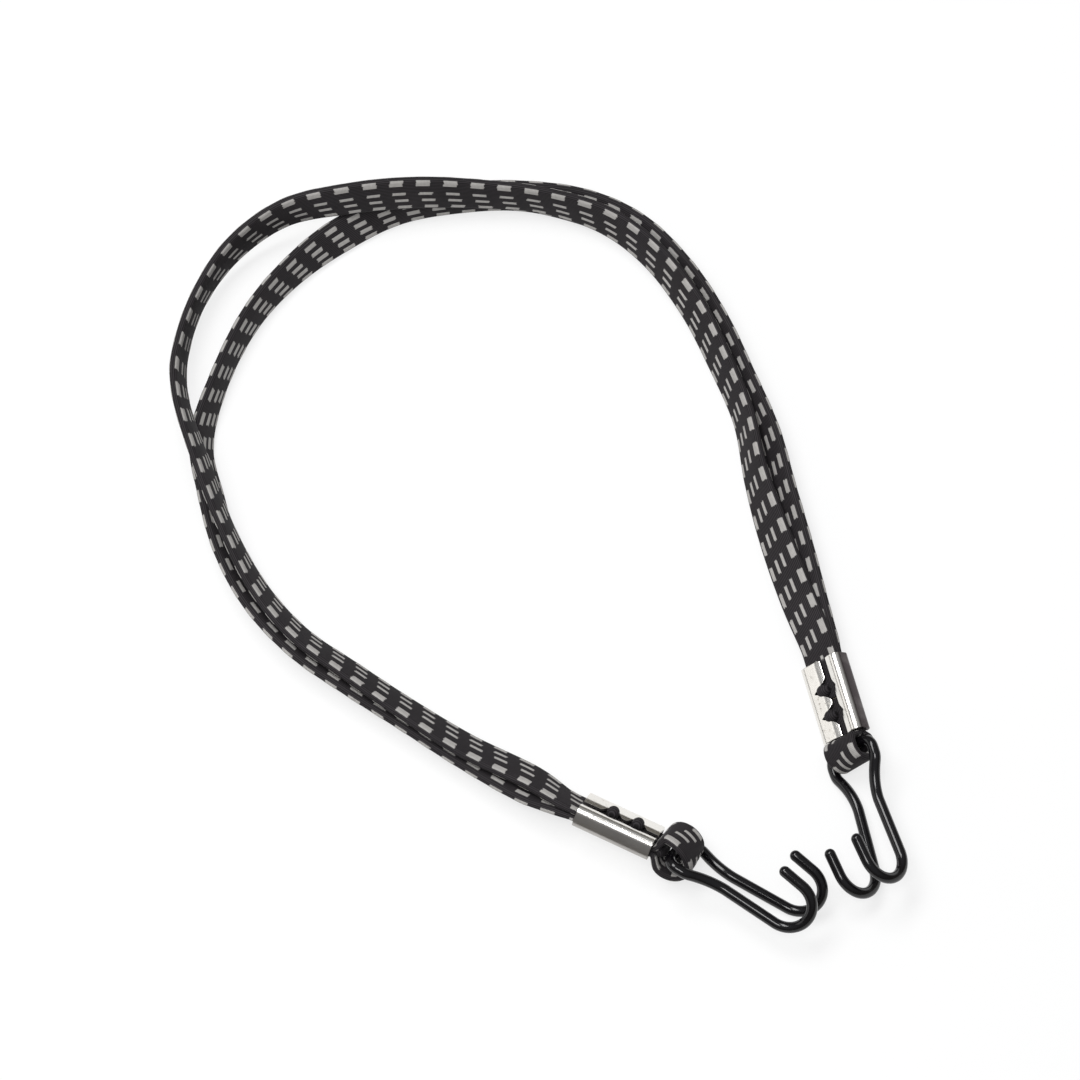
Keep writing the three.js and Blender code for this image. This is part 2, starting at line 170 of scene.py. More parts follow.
class Shader:
    """The node tree of one material or of the world."""

    def __init__(self, owner: "bpy.types.Material | bpy.types.World") -> None:
        """Empties the owner's node tree and works in it.

        Args:
            owner: the material or world.
        """
        self.owner = owner
        owner.use_nodes = True
        self.tree = owner.node_tree
        self.tree.nodes.clear()

    @classmethod
    def material(cls, name: str) -> "Shader":
        """Starts a new material."""
        return cls(bpy.data.materials.new(name))

    def add(self, kind: str, settings: dict | None = None, inputs: dict | None = None, output: int = 0) -> Sock:
        """Adds a node.

        Args:
            kind: the node's type.
            settings: its properties, which are set first.
            inputs: values or links by socket name or index.
            output: which output to return.

        Returns:
            That output.
        """
        node = self.tree.nodes.new(kind)
        for key, value in (settings or {}).items():
            setattr(node, key, value)
        for key, value in (inputs or {}).items():
            if isinstance(value, Sock):
                self.tree.links.new(value.socket, node.inputs[key])
            else:
                node.inputs[key].default_value = value
        return Sock(self, node.outputs[output] if len(node.outputs) else None)

    def mix(self, factor: Sock, first: "Sock | Colour", second: "Sock | Colour") -> Sock:
        """Mixes two colours by a factor."""
        return self.add("ShaderNodeMix", {"data_type": "RGBA"}, {0: factor, 6: first, 7: second}, 2)

    def noise(self, where: Sock, scale: float, detail: float = 3.0) -> Sock:
        """Adds a noise texture on the given coordinates."""
        return self.add("ShaderNodeTexNoise", None, {"Vector": where, "Scale": scale, "Detail": detail})

    def bump(self, height: Sock, strength: float, depth: float) -> Sock:
        """Turns a height into a normal, for a full height of the given depth in metres."""
        return self.add("ShaderNodeBump", None, {"Strength": strength, "Distance": depth, "Height": height})

    def attribute(self, name: str) -> Sock:
        """Reads the number that a mesh holds for each of its points."""
        return self.add("ShaderNodeAttribute", {"attribute_name": name}, None, 2)

    def place(self) -> Sock:
        """Returns Object coordinates."""
        return self.add("ShaderNodeTexCoord", None, None, 3)

    def finish(self, surface: dict) -> bpy.types.Material:
        """Closes the tree with a Principled surface.

        Args:
            surface: its inputs.

        Returns:
            The material.
        """
        shader = self.add("ShaderNodeBsdfPrincipled", None, surface)
        self.add("ShaderNodeOutputMaterial", None, {"Surface": shader})
        return self.owner


@dataclass(frozen=True)
class DashColumn:
    """One lengthwise column of light floats: its place round the band in mm, width in mm and lag in periods."""

    centre: float
    width: float
    lag: float


@dataclass(frozen=True)
class Weave:
    """How the band is woven, in mm and by place round its section from the inner crown over the front.

    The raised floats rise over side_rise at their sides, and from end_rise_in to end_rise_out of a period at
    their ends.
    """

    flat: float = 4.9
    crown: float = 1.1
    rib_count: int = 48
    dash_share: float = 0.5
    side_rise: float = 0.2
    end_rise_in: float = 0.07
    end_rise_out: float = 0.05
    columns: tuple[DashColumn, ...] = (
        DashColumn(2.2, 1.25, 0.40), DashColumn(4.95, 1.0, 0.26), DashColumn(7.55, 1.0, 0.13),
        DashColumn(11.4, 1.95, 0.0), DashColumn(14.9, 1.5, -0.10), DashColumn(17.9, 1.45, -0.24),
        DashColumn(20.7, 1.45, -0.37), DashColumn(23.5, 1.4, -0.49),
    )

    @property
    def perimeter(self) -> float:
        """Length round the section in mm."""
        return 4.0 * self.flat + 2.0 * math.pi * self.crown

    def section(self, place: np.ndarray) -> tuple[np.ndarray, np.ndarray, np.ndarray, np.ndarray]:
        """Finds points of the section.

        Args:
            place: distances round it in mm, from the inner crown over the front.

        Returns:
            Across and normal offsets in mm, and the outward direction's two parts.
        """
        half = self.perimeter / 2.0
        front = place <= half
        arc = np.where(front, place - half / 2.0, 1.5 * half - place)
        past = np.clip(np.abs(arc) - self.flat, 0.0, None) / self.crown
        side = np.sign(arc)
        face = np.where(front, 1.0, -1.0)
        across = side * (np.minimum(np.abs(arc), self.flat) + self.crown * np.sin(past))
        return across, face * self.crown * np.cos(past), side * np.sin(past), face * np.cos(past)

    def raised(self, phase: np.ndarray, place: np.ndarray) -> np.ndarray:
        """Finds where the light floats stand up.

        Args:
            phase: dash phases of the stations.
            place: distances round the section in mm.

        Returns:
            A grid of 0 to 1, stations by places.
        """
        out = np.zeros((len(phase), len(place)))
        half = self.dash_share / 2
        for column in self.columns:
            edge = column.width / 2
            over = 1.0 - smoothstep(np.abs(place - column.centre), edge - self.side_rise, edge + self.side_rise)
            away = np.abs((phase - column.lag) % 1.0 - 0.5)
            along = 1.0 - smoothstep(away, half - self.end_rise_in, half + self.end_rise_out)
            out += along[:, None] * over[None, :]
        return np.minimum(out, 1.0)


@dataclass(frozen=True)
class WovenFinish:
    """Near-black woven elastic with light grey floats, on the band's own map of phase and place.

    Yarn width, lag_margin and side_blur are in mm; picks is the number of weft yarns in a dash period, of which
    end_blur and ragged_ends are shares.
    """

    weave: Weave
    ground: Colour = grey(0.0062, 0.0053, 0.0058)
    rib: Colour = grey(0.052, 0.046, 0.051)
    float_light: Colour = grey(0.52, 0.505, 0.485)
    float_dark: Colour = grey(0.21, 0.20, 0.195)
    yarn: float = 0.40
    picks: int = 20
    lag_margin: float = 0.3
    side_blur: float = 0.12
    end_blur: float = 0.02
    ragged_ends: float = 0.045
    grip_edge: tuple[float, float] = (0.95, 1.0)
    fuzz_scale: float = 900.0
    wear_scale: float = 55.0
    pick_shade: float = 0.30
    yarn_shade: float = 0.12
    fuzz_shade: float = 0.38
    rib_shade: float = 0.75
    fresh_share: float = 0.45
    worn_share: float = 0.9
    rib_relief: float = 0.5
    float_relief: float = 0.75
    pick_relief: float = 0.25
    fuzz_relief: float = 0.25
    bump_strength: float = 0.35
    bump_depth: float = 0.00012
    roughness: float = 0.72
    float_gloss: float = 0.2
    sheen: float = 0.03
    sheen_roughness: float = 0.4
    specular: float = 0.2

    def dashes(self, shader: Shader, phase: Sock, place: Sock) -> Sock:
        """Masks the light floats, which end raggedly and stop where a ferrule grips the band.

        Args:
            shader: the tree to work in.
            phase: place along the band in dash periods.
            place: distance round the section in mm.

        Returns:
            1 on the floats and 0 between them.
        """
        lag, over = None, None
        for column in self.weave.columns:
            far, edge = abs(place - column.centre), column.width / 2
            held = (far < edge + self.lag_margin) * column.lag
            shown = 1.0 - far.ease(edge - self.side_blur, edge + self.side_blur)
            lag = held if lag is None else lag + held
            over = shown if over is None else over + shown
        dash = phase - lag
        seed = shader.add("ShaderNodeCombineXYZ", None, {0: (place / self.yarn).floor(), 1: dash.floor()})
        ragged = shader.add("ShaderNodeTexWhiteNoise", {"noise_dimensions": "2D"}, {"Vector": seed})
        away = abs((dash + (ragged - 0.5) * self.ragged_ends).fraction() - 0.5)
        half = self.weave.dash_share / 2
        free = 1.0 - shader.attribute("gripped").ease(*self.grip_edge)
        return (1.0 - away.ease(half - self.end_blur, half + self.end_blur)) * over * free

    def material(self) -> bpy.types.Material:
        """Builds the woven material.

        Returns:
            The material.
        """
        shader = Shader.material("woven_band")
        chart = shader.add("ShaderNodeUVMap", {"uv_map": "weave"})
        parts = shader.add("ShaderNodeSeparateXYZ", None, {0: chart})
        phase, place = parts.of(0), parts.of(1) * self.weave.perimeter
        mask = self.dashes(shader, phase, place)
        pick, yarn_line = phase.wave(1 / self.picks), place.wave(self.yarn)
        rib = place.wave(self.weave.perimeter / self.weave.rib_count)
        fuzz = shader.noise(shader.place(), self.fuzz_scale)
        mottle = shader.noise(shader.place(), self.wear_scale)
        shade = pick * self.pick_shade + yarn_line * self.yarn_shade + fuzz * self.fuzz_shade
        light = shader.mix(shade, self.float_light, self.float_dark)
        raised = rib * self.rib_shade * (self.fresh_share + mottle * self.worn_share)
        dark = shader.mix(raised, self.ground, self.rib)
        floats = mask * (self.float_relief + pick * self.pick_relief)
        height = rib * (1.0 - mask) * self.rib_relief + floats + fuzz * self.fuzz_relief
        return shader.finish({
            "Base Color": shader.mix(mask, dark, light), "Roughness": self.roughness - mask * self.float_gloss,
            "Normal": shader.bump(height, self.bump_strength, self.bump_depth), "Sheen Weight": self.sheen,
            "Sheen Roughness": self.sheen_roughness, "Specular IOR Level": self.specular,
        })


@dataclass(frozen=True)
class RubberFinish:
    """Natural rubber thread with a dusting of talc."""

    rubber: Colour = grey(0.45, 0.34, 0.21)
    talc: Colour = grey(0.62, 0.55, 0.44)
    dust_scale: float = 700.0
    talc_edge: tuple[float, float] = (0.45, 0.75)
    roughness: float = 0.7
    dust_roughness: float = 0.2
    bump_strength: float = 0.25
    bump_depth: float = 0.0001

    def material(self) -> bpy.types.Material:
        """Builds the rubber material.

        Returns:
            The material.
        """
        shader = Shader.material("rubber_thread")
        dust = shader.noise(shader.place(), self.dust_scale)
        return shader.finish({
            "Base Color": shader.mix(dust.ease(*self.talc_edge), self.rubber, self.talc),
            "Roughness": self.roughness + dust * self.dust_roughness,
            "Normal": shader.bump(dust, self.bump_strength, self.bump_depth),
        })


@dataclass(frozen=True)
class PlatedFinish:
    """Bright plated sheet steel with handling marks and dark specks, and a painted dark reflection on its side
    wall.
    """

    bright: Colour = grey(0.86, 0.84, 0.80)
    dull: Colour = grey(0.45, 0.41, 0.35)
    # Painted dark reflection, mixed into the colour of the outer side wall.
    painted_dark_reflection: Colour = grey(0.085, 0.072, 0.075)
    cloud_scale: float = 130.0
    cloud_edge: tuple[float, float] = (0.4, 0.7)
    speck_scale: float = 900.0
    speck_detail: float = 5.0
    speck_edge: tuple[float, float] = (0.58, 0.72)
    mark_shade: float = 0.5
    cloud_shade: float = 0.12
    wall_shade: float = 0.75
    wall_cloud: float = 0.5
    roughness: float = 0.15
    cloud_roughness: float = 0.10
    mark_roughness: float = 0.2
    wall_roughness: float = 0.2
    cloud_relief: float = 0.8
    speck_relief: float = 0.2
    bump_strength: float = 0.10
    bump_depth: float = 0.0002

    def material(self) -> bpy.types.Material:
        """Builds the plated sheet material.

        Returns:
            The material.
        """
        shader = Shader.material("plated_sheet")
        place = shader.place()
        cloud = shader.noise(place, self.cloud_scale)
        speck = shader.noise(place, self.speck_scale, self.speck_detail)
        wall = shader.attribute("painted_reflection_share")
        marks = speck.ease(*self.speck_edge) * cloud.ease(*self.cloud_edge)
        plate = shader.mix(marks * self.mark_shade + cloud * self.cloud_shade, self.bright, self.dull)
        # Painted dark reflection on the outer side wall, mottled by the cloud.
        mottle = wall * (self.wall_shade + cloud * self.wall_cloud)
        scuffs = self.roughness + cloud * self.cloud_roughness + marks * self.mark_roughness
        height = cloud * self.cloud_relief + speck * self.speck_relief
        return shader.finish({
            "Base Color": shader.mix(mottle, plate, self.painted_dark_reflection), "Metallic": 1.0,
            "Roughness": scuffs + wall * self.wall_roughness,
            "Normal": shader.bump(height, self.bump_strength, self.bump_depth),
        })


@dataclass(frozen=True)
class DippedFinish:
    """Glossy black plastic that the wire was dipped in, with slight ripples and dust."""

    black: Colour = grey(0.0035, 0.003, 0.004)
    scuff: Colour = grey(0.018, 0.017, 0.019)
    ripple_scale: float = 160.0
    ripple_detail: float = 2.0
    dust_scale: float = 1500.0
    dust_detail: float = 4.0
    dust_edge: tuple[float, float] = (0.62, 0.74)
    dust_shade: float = 0.5
    roughness: float = 0.13
    dust_roughness: float = 0.15
    bump_strength: float = 0.10
    bump_depth: float = 0.0004
    bending: float = 1.45

    def material(self) -> bpy.types.Material:
        """Builds the dipped plastic material.

        Returns:
            The material.
        """
        shader = Shader.material("dipped_plastic")
        place = shader.place()
        ripple = shader.noise(place, self.ripple_scale, self.ripple_detail)
        dust = shader.noise(place, self.dust_scale, self.dust_detail).ease(*self.dust_edge)
        return shader.finish({
            "Base Color": shader.mix(dust * self.dust_shade, self.black, self.scuff),
            "Roughness": self.roughness + dust * self.dust_roughness,
            "Normal": shader.bump(ripple, self.bump_strength, self.bump_depth), "IOR": self.bending,
        })


@dataclass(frozen=True)
class WireFinish:
    """Drawn steel wire."""

    steel: Colour = grey(0.50, 0.50, 0.51)
    oxide: Colour = grey(0.27, 0.25, 0.23)
    stain_scale: float = 420.0
    stain_edge: tuple[float, float] = (0.5, 0.8)
    roughness: float = 0.3
    stain_roughness: float = 0.2

    def material(self) -> bpy.types.Material:
        """Builds the drawn wire material.

        Returns:
            The material.
        """
        shader = Shader.material("drawn_wire")
        darken = shader.noise(shader.place(), self.stain_scale)
        return shader.finish({
            "Base Color": shader.mix(darken.ease(*self.stain_edge), self.steel, self.oxide), "Metallic": 1.0,
            "Roughness": self.roughness + darken * self.stain_roughness,
        })


def catmull(points: np.ndarray, where: np.ndarray) -> tuple[np.ndarray, np.ndarray]:
    """Evaluates a centripetal Catmull-Rom curve through points.

    Args:
        points: the curve's points in order.
        where: places along it from 0 to 1, even in points.

    Returns:
        Positions and unit tangents.
    """
    count = len(points)
    run = np.vstack([2 * points[0] - points[1], points, 2 * points[-1] - points[-2]])
    scaled = np.asarray(where) * (count - 1)
    first = np.minimum(np.floor(scaled).astype(int), count - 2)
    u = (scaled - first)[:, None]
    p0, p1, p2, p3 = (run[first + k] for k in range(4))

    def knot(a: np.ndarray, b: np.ndarray) -> np.ndarray:
        """Returns the centripetal knot distance of two rows of points."""
        return np.maximum(np.sum((a - b) ** 2, 1) ** 0.25, 1e-9)[:, None]

    d0, d1, d2 = knot(p0, p1), knot(p1, p2), knot(p2, p3)
    m1 = ((p1 - p0) / d0 - (p2 - p0) / (d0 + d1) + (p2 - p1) / d1) * d1
    m2 = ((p2 - p1) / d1 - (p3 - p1) / (d1 + d2) + (p3 - p2) / d2) * d1
    c2 = -3 * p1 + 3 * p2 - 2 * m1 - m2
    c3 = 2 * p1 - 2 * p2 + m1 + m2
    tangent = m1 + 2 * c2 * u + 3 * c3 * u ** 2
    return p1 + m1 * u + c2 * u ** 2 + c3 * u ** 3, tangent / np.linalg.norm(tangent, axis=1)[:, None]


def mesh_object(name: str, points: np.ndarray, faces: list, material: bpy.types.Material) -> bpy.types.Object:
    """Makes a smooth mesh object at the origin.

    Args:
        name: the piece's name.
        points: vertices in metres.
        faces: vertex indices of each face.
        material: its finish.

    Returns:
        The object.
    """
    mesh = bpy.data.meshes.new(name)
    mesh.from_pydata([tuple(p) for p in points], [], faces)
    mesh.materials.append(material)
    mesh.polygons.foreach_set("use_smooth", [True] * len(mesh.polygons))
    mesh.update()
    piece = bpy.data.objects.new(name, mesh)
    bpy.context.scene.collection.objects.link(piece)
    return piece


def ring_quads(base: int, rings: int, around: int) -> list[tuple[int, int, int, int]]:
    """Lists the quads that join closed rings of points, one ring to the next.

    Args:
        base: index of the first ring's first point.
        rings: how many rings.
        around: points in each ring.

    Returns:
        Vertex indices of each quad.
    """
    quads = []
    for row in range(base, base + (rings - 1) * around, around):
        for k in range(around):
            j = (k + 1) % around
            quads.append((row + k, row + j, row + around + j, row + around + k))
    return quads


def map_weave(piece: bpy.types.Object, chart: np.ndarray, gripped: np.ndarray) -> None:
    """Gives a woven piece its map and notes where a ferrule presses it.

    Args:
        piece: the piece.
        chart: phase and share of the section's perimeter, for each corner of each face.
        gripped: one value for each point, 1 where it is pressed flat.
    """
    layer = piece.data.uv_layers.new(name="weave")
    layer.data.foreach_set("uv", np.asarray(chart, np.float32).ravel())
    marks = piece.data.attributes.new("gripped", "FLOAT", "POINT")
    marks.data.foreach_set("value", gripped.astype(np.float32))


def mount(piece: bpy.types.Object, body: str, node: str | None = None) -> None:
    """Lets a piece ride on a body.

    Args:
        piece: the piece.
        body: the body it moves with.
        node: the CAD node that it replaces, if any.
    """
    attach(piece, body)
    if node:
        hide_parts(node)


@dataclass
class BandSize:
    """Sizes of the woven band in metres."""

    width: float = 0.012
    thickness: float = 0.0022
    corner: float = 0.0006
    pressed: float = 0.0017
    wall: float = 0.00045
    easing: float = 0.006
    clearance: float = 0.0003

    @property
    def pressed_ratio(self) -> float:
        """Thickness in a ferrule against the free thickness."""
        return self.pressed / self.thickness

    def rest(self, tilt: float, radius: float = 0.0) -> float:
        """Height of a leaning band's centre, or of an eye's, above its lowest point.

        Args:
            tilt: the lean in radians.
            radius: the eye's mean radius, or 0.

        Returns:
            The height in metres.
        """
        w, h, c = self.width / 2, self.thickness / 2, self.corner
        corners = ((w - c, h), (w, h - c))
        return max(a * math.sin(tilt) + (n + radius) * math.cos(tilt) for a, n in corners)


BAND = BandSize()


@dataclass
class FerruleSize:
    """Sizes of the folded sheet ferrule in metres."""

    length: float = 0.024
    sheet: float = 0.0009
    corner: float = 0.0022
    side_play: float = 0.0005
    lip_dip: float = 0.00075
    lip_reach: float = 0.0034
    seam_gap: float = 0.0022
    seam_shift: float = 0.0017
    notch_sharpness: float = 1.5
    notch_shift: float = 0.0009
    deep_notch: float = 0.005
    deep_width: float = 0.0072
    shallow_notch: float = 0.0012
    shallow_width: float = 0.0046
    tooth_count: int = 3

    @property
    def bore_height(self) -> float:
        """Inside height, over both bands."""
        return 2 * BAND.pressed + 3 * BAND.clearance + self.lip_dip

    @property
    def half_width(self) -> float:
        """Half the outside width."""
        return BAND.width / 2 + self.side_play + self.sheet

    @property
    def half_height(self) -> float:
        """Half the outside height."""
        return self.bore_height / 2 + self.sheet

    @property
    def notches(self) -> list[float]:
        """Places of the notches along the ferrule, from its hook-side mouth."""
        pitch = self.length / self.tooth_count
        return [-self.length + k * pitch + self.notch_shift for k in range(1, self.tooth_count)]

    @property
    def lower(self) -> float:
        """Height of the lower band's middle."""
        return -self.bore_height / 2 + BAND.clearance + BAND.pressed / 2

    @property
    def upper(self) -> float:
        """Height of the upper band's middle."""
        return self.lower + BAND.pressed + BAND.clearance

    @property
    def middle(self) -> float:
        """Height half-way between the two bands."""
        return (self.lower + self.upper) / 2

    @property
    def band_end(self) -> float:
        """How far inside the mouth the bands' cut ends meet."""
        return self.length / 2 + BAND.clearance / 2

    @property
    def grip(self) -> float:
        """Length of each band's end that lies in the ferrule."""
        return self.length - self.band_end


FERRULE = FerruleSize()


@dataclass
class EndPlace:
    """Where one end lies, in metres and degrees, and how its eye and hook sit."""

    x: float
    y: float
    heading: float
    lean: float
    side: int
    lift: float
    eye_bore: float
    eye_reach: float
    eye_twist: float
    bight_shift: float
    droop: float
    roll: float
    eye_rise: float = 0.0008

    @property
    def eye_radius(self) -> float:
        """Mean radius of the eye."""
        return (self.eye_bore + BAND.thickness) / 2

    @property
    def eye_height(self) -> float:
        """Height of the eye's centre in the end's frame."""
        return FERRULE.middle + self.eye_rise

    def matrix(self) -> Matrix:
        """Places the end's frame, with X towards the hook and Z out of the toothed face.

        Returns:
            The frame in the strap's frame.
        """
        tilt = math.radians(self.lean)
        height = self.lift + BAND.rest(tilt, self.eye_radius) - self.eye_height * math.cos(tilt)
        turn = Matrix.Rotation(math.radians(self.heading), 4, "Z") @ Matrix.Rotation(self.side * tilt, 4, "X")
        return Matrix.Translation((self.x, self.y, height)) @ turn

    def hook_matrix(self) -> Matrix:
        """Places the hook's frame at the middle of its bight.

        Returns:
            The frame in the strap's frame.
        """
        spot = Matrix.Translation((self.eye_reach + self.bight_shift, 0, self.eye_height))
        droop = Matrix.Rotation(math.radians(self.droop), 4, "Y")
        return self.matrix() @ spot @ droop @ Matrix.Rotation(self.side * math.radians(self.roll), 4, "X")


PLACES = {
    End.LEFT: EndPlace(
        x=-0.024, y=-0.0153, heading=-25.9, lean=50, side=-1, lift=0.0001, eye_bore=0.0094, eye_reach=0.0062,
        eye_twist=-26, bight_shift=0.0002, droop=7.2, roll=-4),
    End.RIGHT: EndPlace(
        x=0.0323, y=0.0173, heading=-74.9, lean=44, side=1, lift=0.0009, eye_bore=0.0066, eye_reach=0.0041,
        eye_twist=5, bight_shift=-0.0004, droop=2.2, roll=7),
}
# Points of each run from the left end to the right one: x, y and lift in metres, and lean in degrees
RUN_A = (
    (-0.0598, 0.0051, 0.0029, 42), (-0.0793, 0.0153, 0.0022, 42), (-0.0975, 0.027, 0.0022, 47),
    (-0.1135, 0.0385, 0.0014, 50), (-0.129, 0.0498, 0.0019, 55), (-0.1412, 0.064, 0.0031, 62),
    (-0.1507, 0.0813, 0.0066, 70), (-0.1583, 0.1004, 0.0114, 69), (-0.1651, 0.1214, 0.0114, 75),
    (-0.166, 0.1382, 0.0056, 81), (-0.1611, 0.1575, 0.0032, 84), (-0.1509, 0.1731, 0.0045, 79),
    (-0.1357, 0.1835, 0.0077, 76), (-0.1165, 0.1869, 0.0109, 68), (-0.0963, 0.1902, 0.0084, 67),
    (-0.0764, 0.1911, 0.0054, 73), (-0.0563, 0.1895, 0.004, 79), (-0.0372, 0.1831, 0.0031, 72),
    (-0.0238, 0.1727, 0.0021, 68), (-0.012, 0.1566, 0.0012, 64), (-0.0035, 0.1386, 0.0005, 65),
    (0.0036, 0.1197, 0.0001, 68), (0.0071, 0.1006, 0.0001, 62), (0.0122, 0.0817, 0.0009, 47),
    (0.0184, 0.0622, 0.0022, 40),
)
RUN_B = (
    (-0.0612, 0.0014, 0.0013, 43), (-0.0793, 0.0128, 0.0002, 40), (-0.0963, 0.024, 0.0001, 43),
    (-0.1127, 0.0346, 0.0001, 46), (-0.1286, 0.0457, 0.0001, 50), (-0.1416, 0.0597, 0.0001, 52),
    (-0.1506, 0.0762, 0.0001, 53), (-0.1561, 0.0949, 0.0001, 55), (-0.1593, 0.111, 0.0001, 63),
    (-0.1548, 0.1305, 0.0003, 76), (-0.1452, 0.1521, 0.0003, 75), (-0.1332, 0.1675, 0.0003, 67),
    (-0.1186, 0.1801, 0.0001, 54), (-0.1017, 0.1888, 0.0001, 60), (-0.0824, 0.1922, 0.0003, 67),
    (-0.0624, 0.1928, 0.0001, 68), (-0.0426, 0.1891, 0.0001, 50), (-0.0274, 0.1812, 0.0001, 57),
    (-0.0139, 0.1667, 0.0001, 62), (-0.004, 0.1499, 0.0003, 63), (0.0034, 0.1324, 0.0002, 62),
    (0.0106, 0.1136, 0.0003, 60), (0.0151, 0.0944, 0.0003, 56), (0.0195, 0.0755, 0.0008, 51),
    (0.0234, 0.0569, 0.0015, 46),
)
# Where dashes lie along each run: distance from its left cut end in metres, and dash count
DASHES_A = (
    (0.0125, 0), (0.0209, 1), (0.0299, 2), (0.0388, 3), (0.0882, 9), (0.1623, 18), (0.1938, 22),
    (0.2028, 23), (0.2139, 24), (0.2231, 25), (0.2486, 28), (0.3043, 35), (0.3714, 43), (0.4688, 55),
    (0.5036, 59), (0.5217, 61),
)
DASHES_B = (
    (0.0196, 0), (0.045, 3), (0.095, 9), (0.1732, 19), (0.2051, 23), (0.2461, 28), (0.2626, 30),
    (0.3442, 40), (0.375, 44), (0.400, 47), (0.4414, 52), (0.5014, 59),
)


@dataclass
class Stations:
    """Places along a band: arrays of centres, directions, thickness ratios, dash phases and cambers.

    The camber is how far the section turns from edge to edge, in radians, convex towards the front.
    """

    centre: np.ndarray
    across: np.ndarray
    front: np.ndarray
    ratio: np.ndarray
    phase: np.ndarray
    camber: np.ndarray
    length: float

    @property
    def turned(self) -> bool:
        """Whether across, front and the way along are right-handed."""
        ways = np.cross(self.across, self.front)[:-1] * np.diff(self.centre, axis=0)
        return bool(ways.sum(1).mean() > 0)

    def thinned(self, every: int) -> "Stations":
        """Picks stations at even steps, and the last one.

        Args:
            every: the step.

        Returns:
            The picked stations.
        """
        last = len(self.centre) - 1
        picked = list(range(0, last, every)) + [last]
        rows = (self.centre, self.across, self.front, self.ratio, self.phase, self.camber)
        return Stations(*(row[picked] for row in rows), self.length)

    def points(self, across: np.ndarray, normal: np.ndarray) -> np.ndarray:
        """Finds points by their offsets from the stations.

        Args:
            across: offsets across, stations by points.
            normal: offsets towards the front, stations by points.

        Returns:
            A grid of points, stations by points.
        """
        sideways = self.across[:, None, :] * across[..., None]
        return self.centre[:, None, :] + sideways + self.front[:, None, :] * normal[..., None]


def band_stations(
        centres: np.ndarray, edges: np.ndarray, count: int, grip: float, fine_count: int = 6001) -> Stations:
    """Lays stations evenly along a band between two rails.

    Args:
        centres: points of the middle rail.
        edges: points of the rail at the outer edge.
        count: how many steps.
        grip: length at each end that a ferrule presses.
        fine_count: points that the length is measured by.

    Returns:
        The stations, without camber and with their distances as phases.
    """
    fine = np.linspace(0.0, 1.0, fine_count)
    line = catmull(centres, fine)[0]
    run = np.concatenate([[0.0], np.cumsum(np.linalg.norm(np.diff(line, axis=0), axis=1))])
    even = np.linspace(0.0, run[-1], count + 1)
    where = np.interp(even, run, fine)
    centre, tangent = catmull(centres, where)
    across = catmull(edges, where)[0] - centre
    across -= np.sum(across * tangent, 1)[:, None] * tangent
    across /= np.linalg.norm(across, axis=1)[:, None]
    from_end = np.minimum(even, run[-1] - even)
    swell = smoothstep(from_end, grip, grip + BAND.easing)
    ratio = BAND.pressed_ratio + (1.0 - BAND.pressed_ratio) * swell
    return Stations(centre, across, np.cross(tangent, across), ratio, even, np.zeros(count + 1), float(run[-1]))


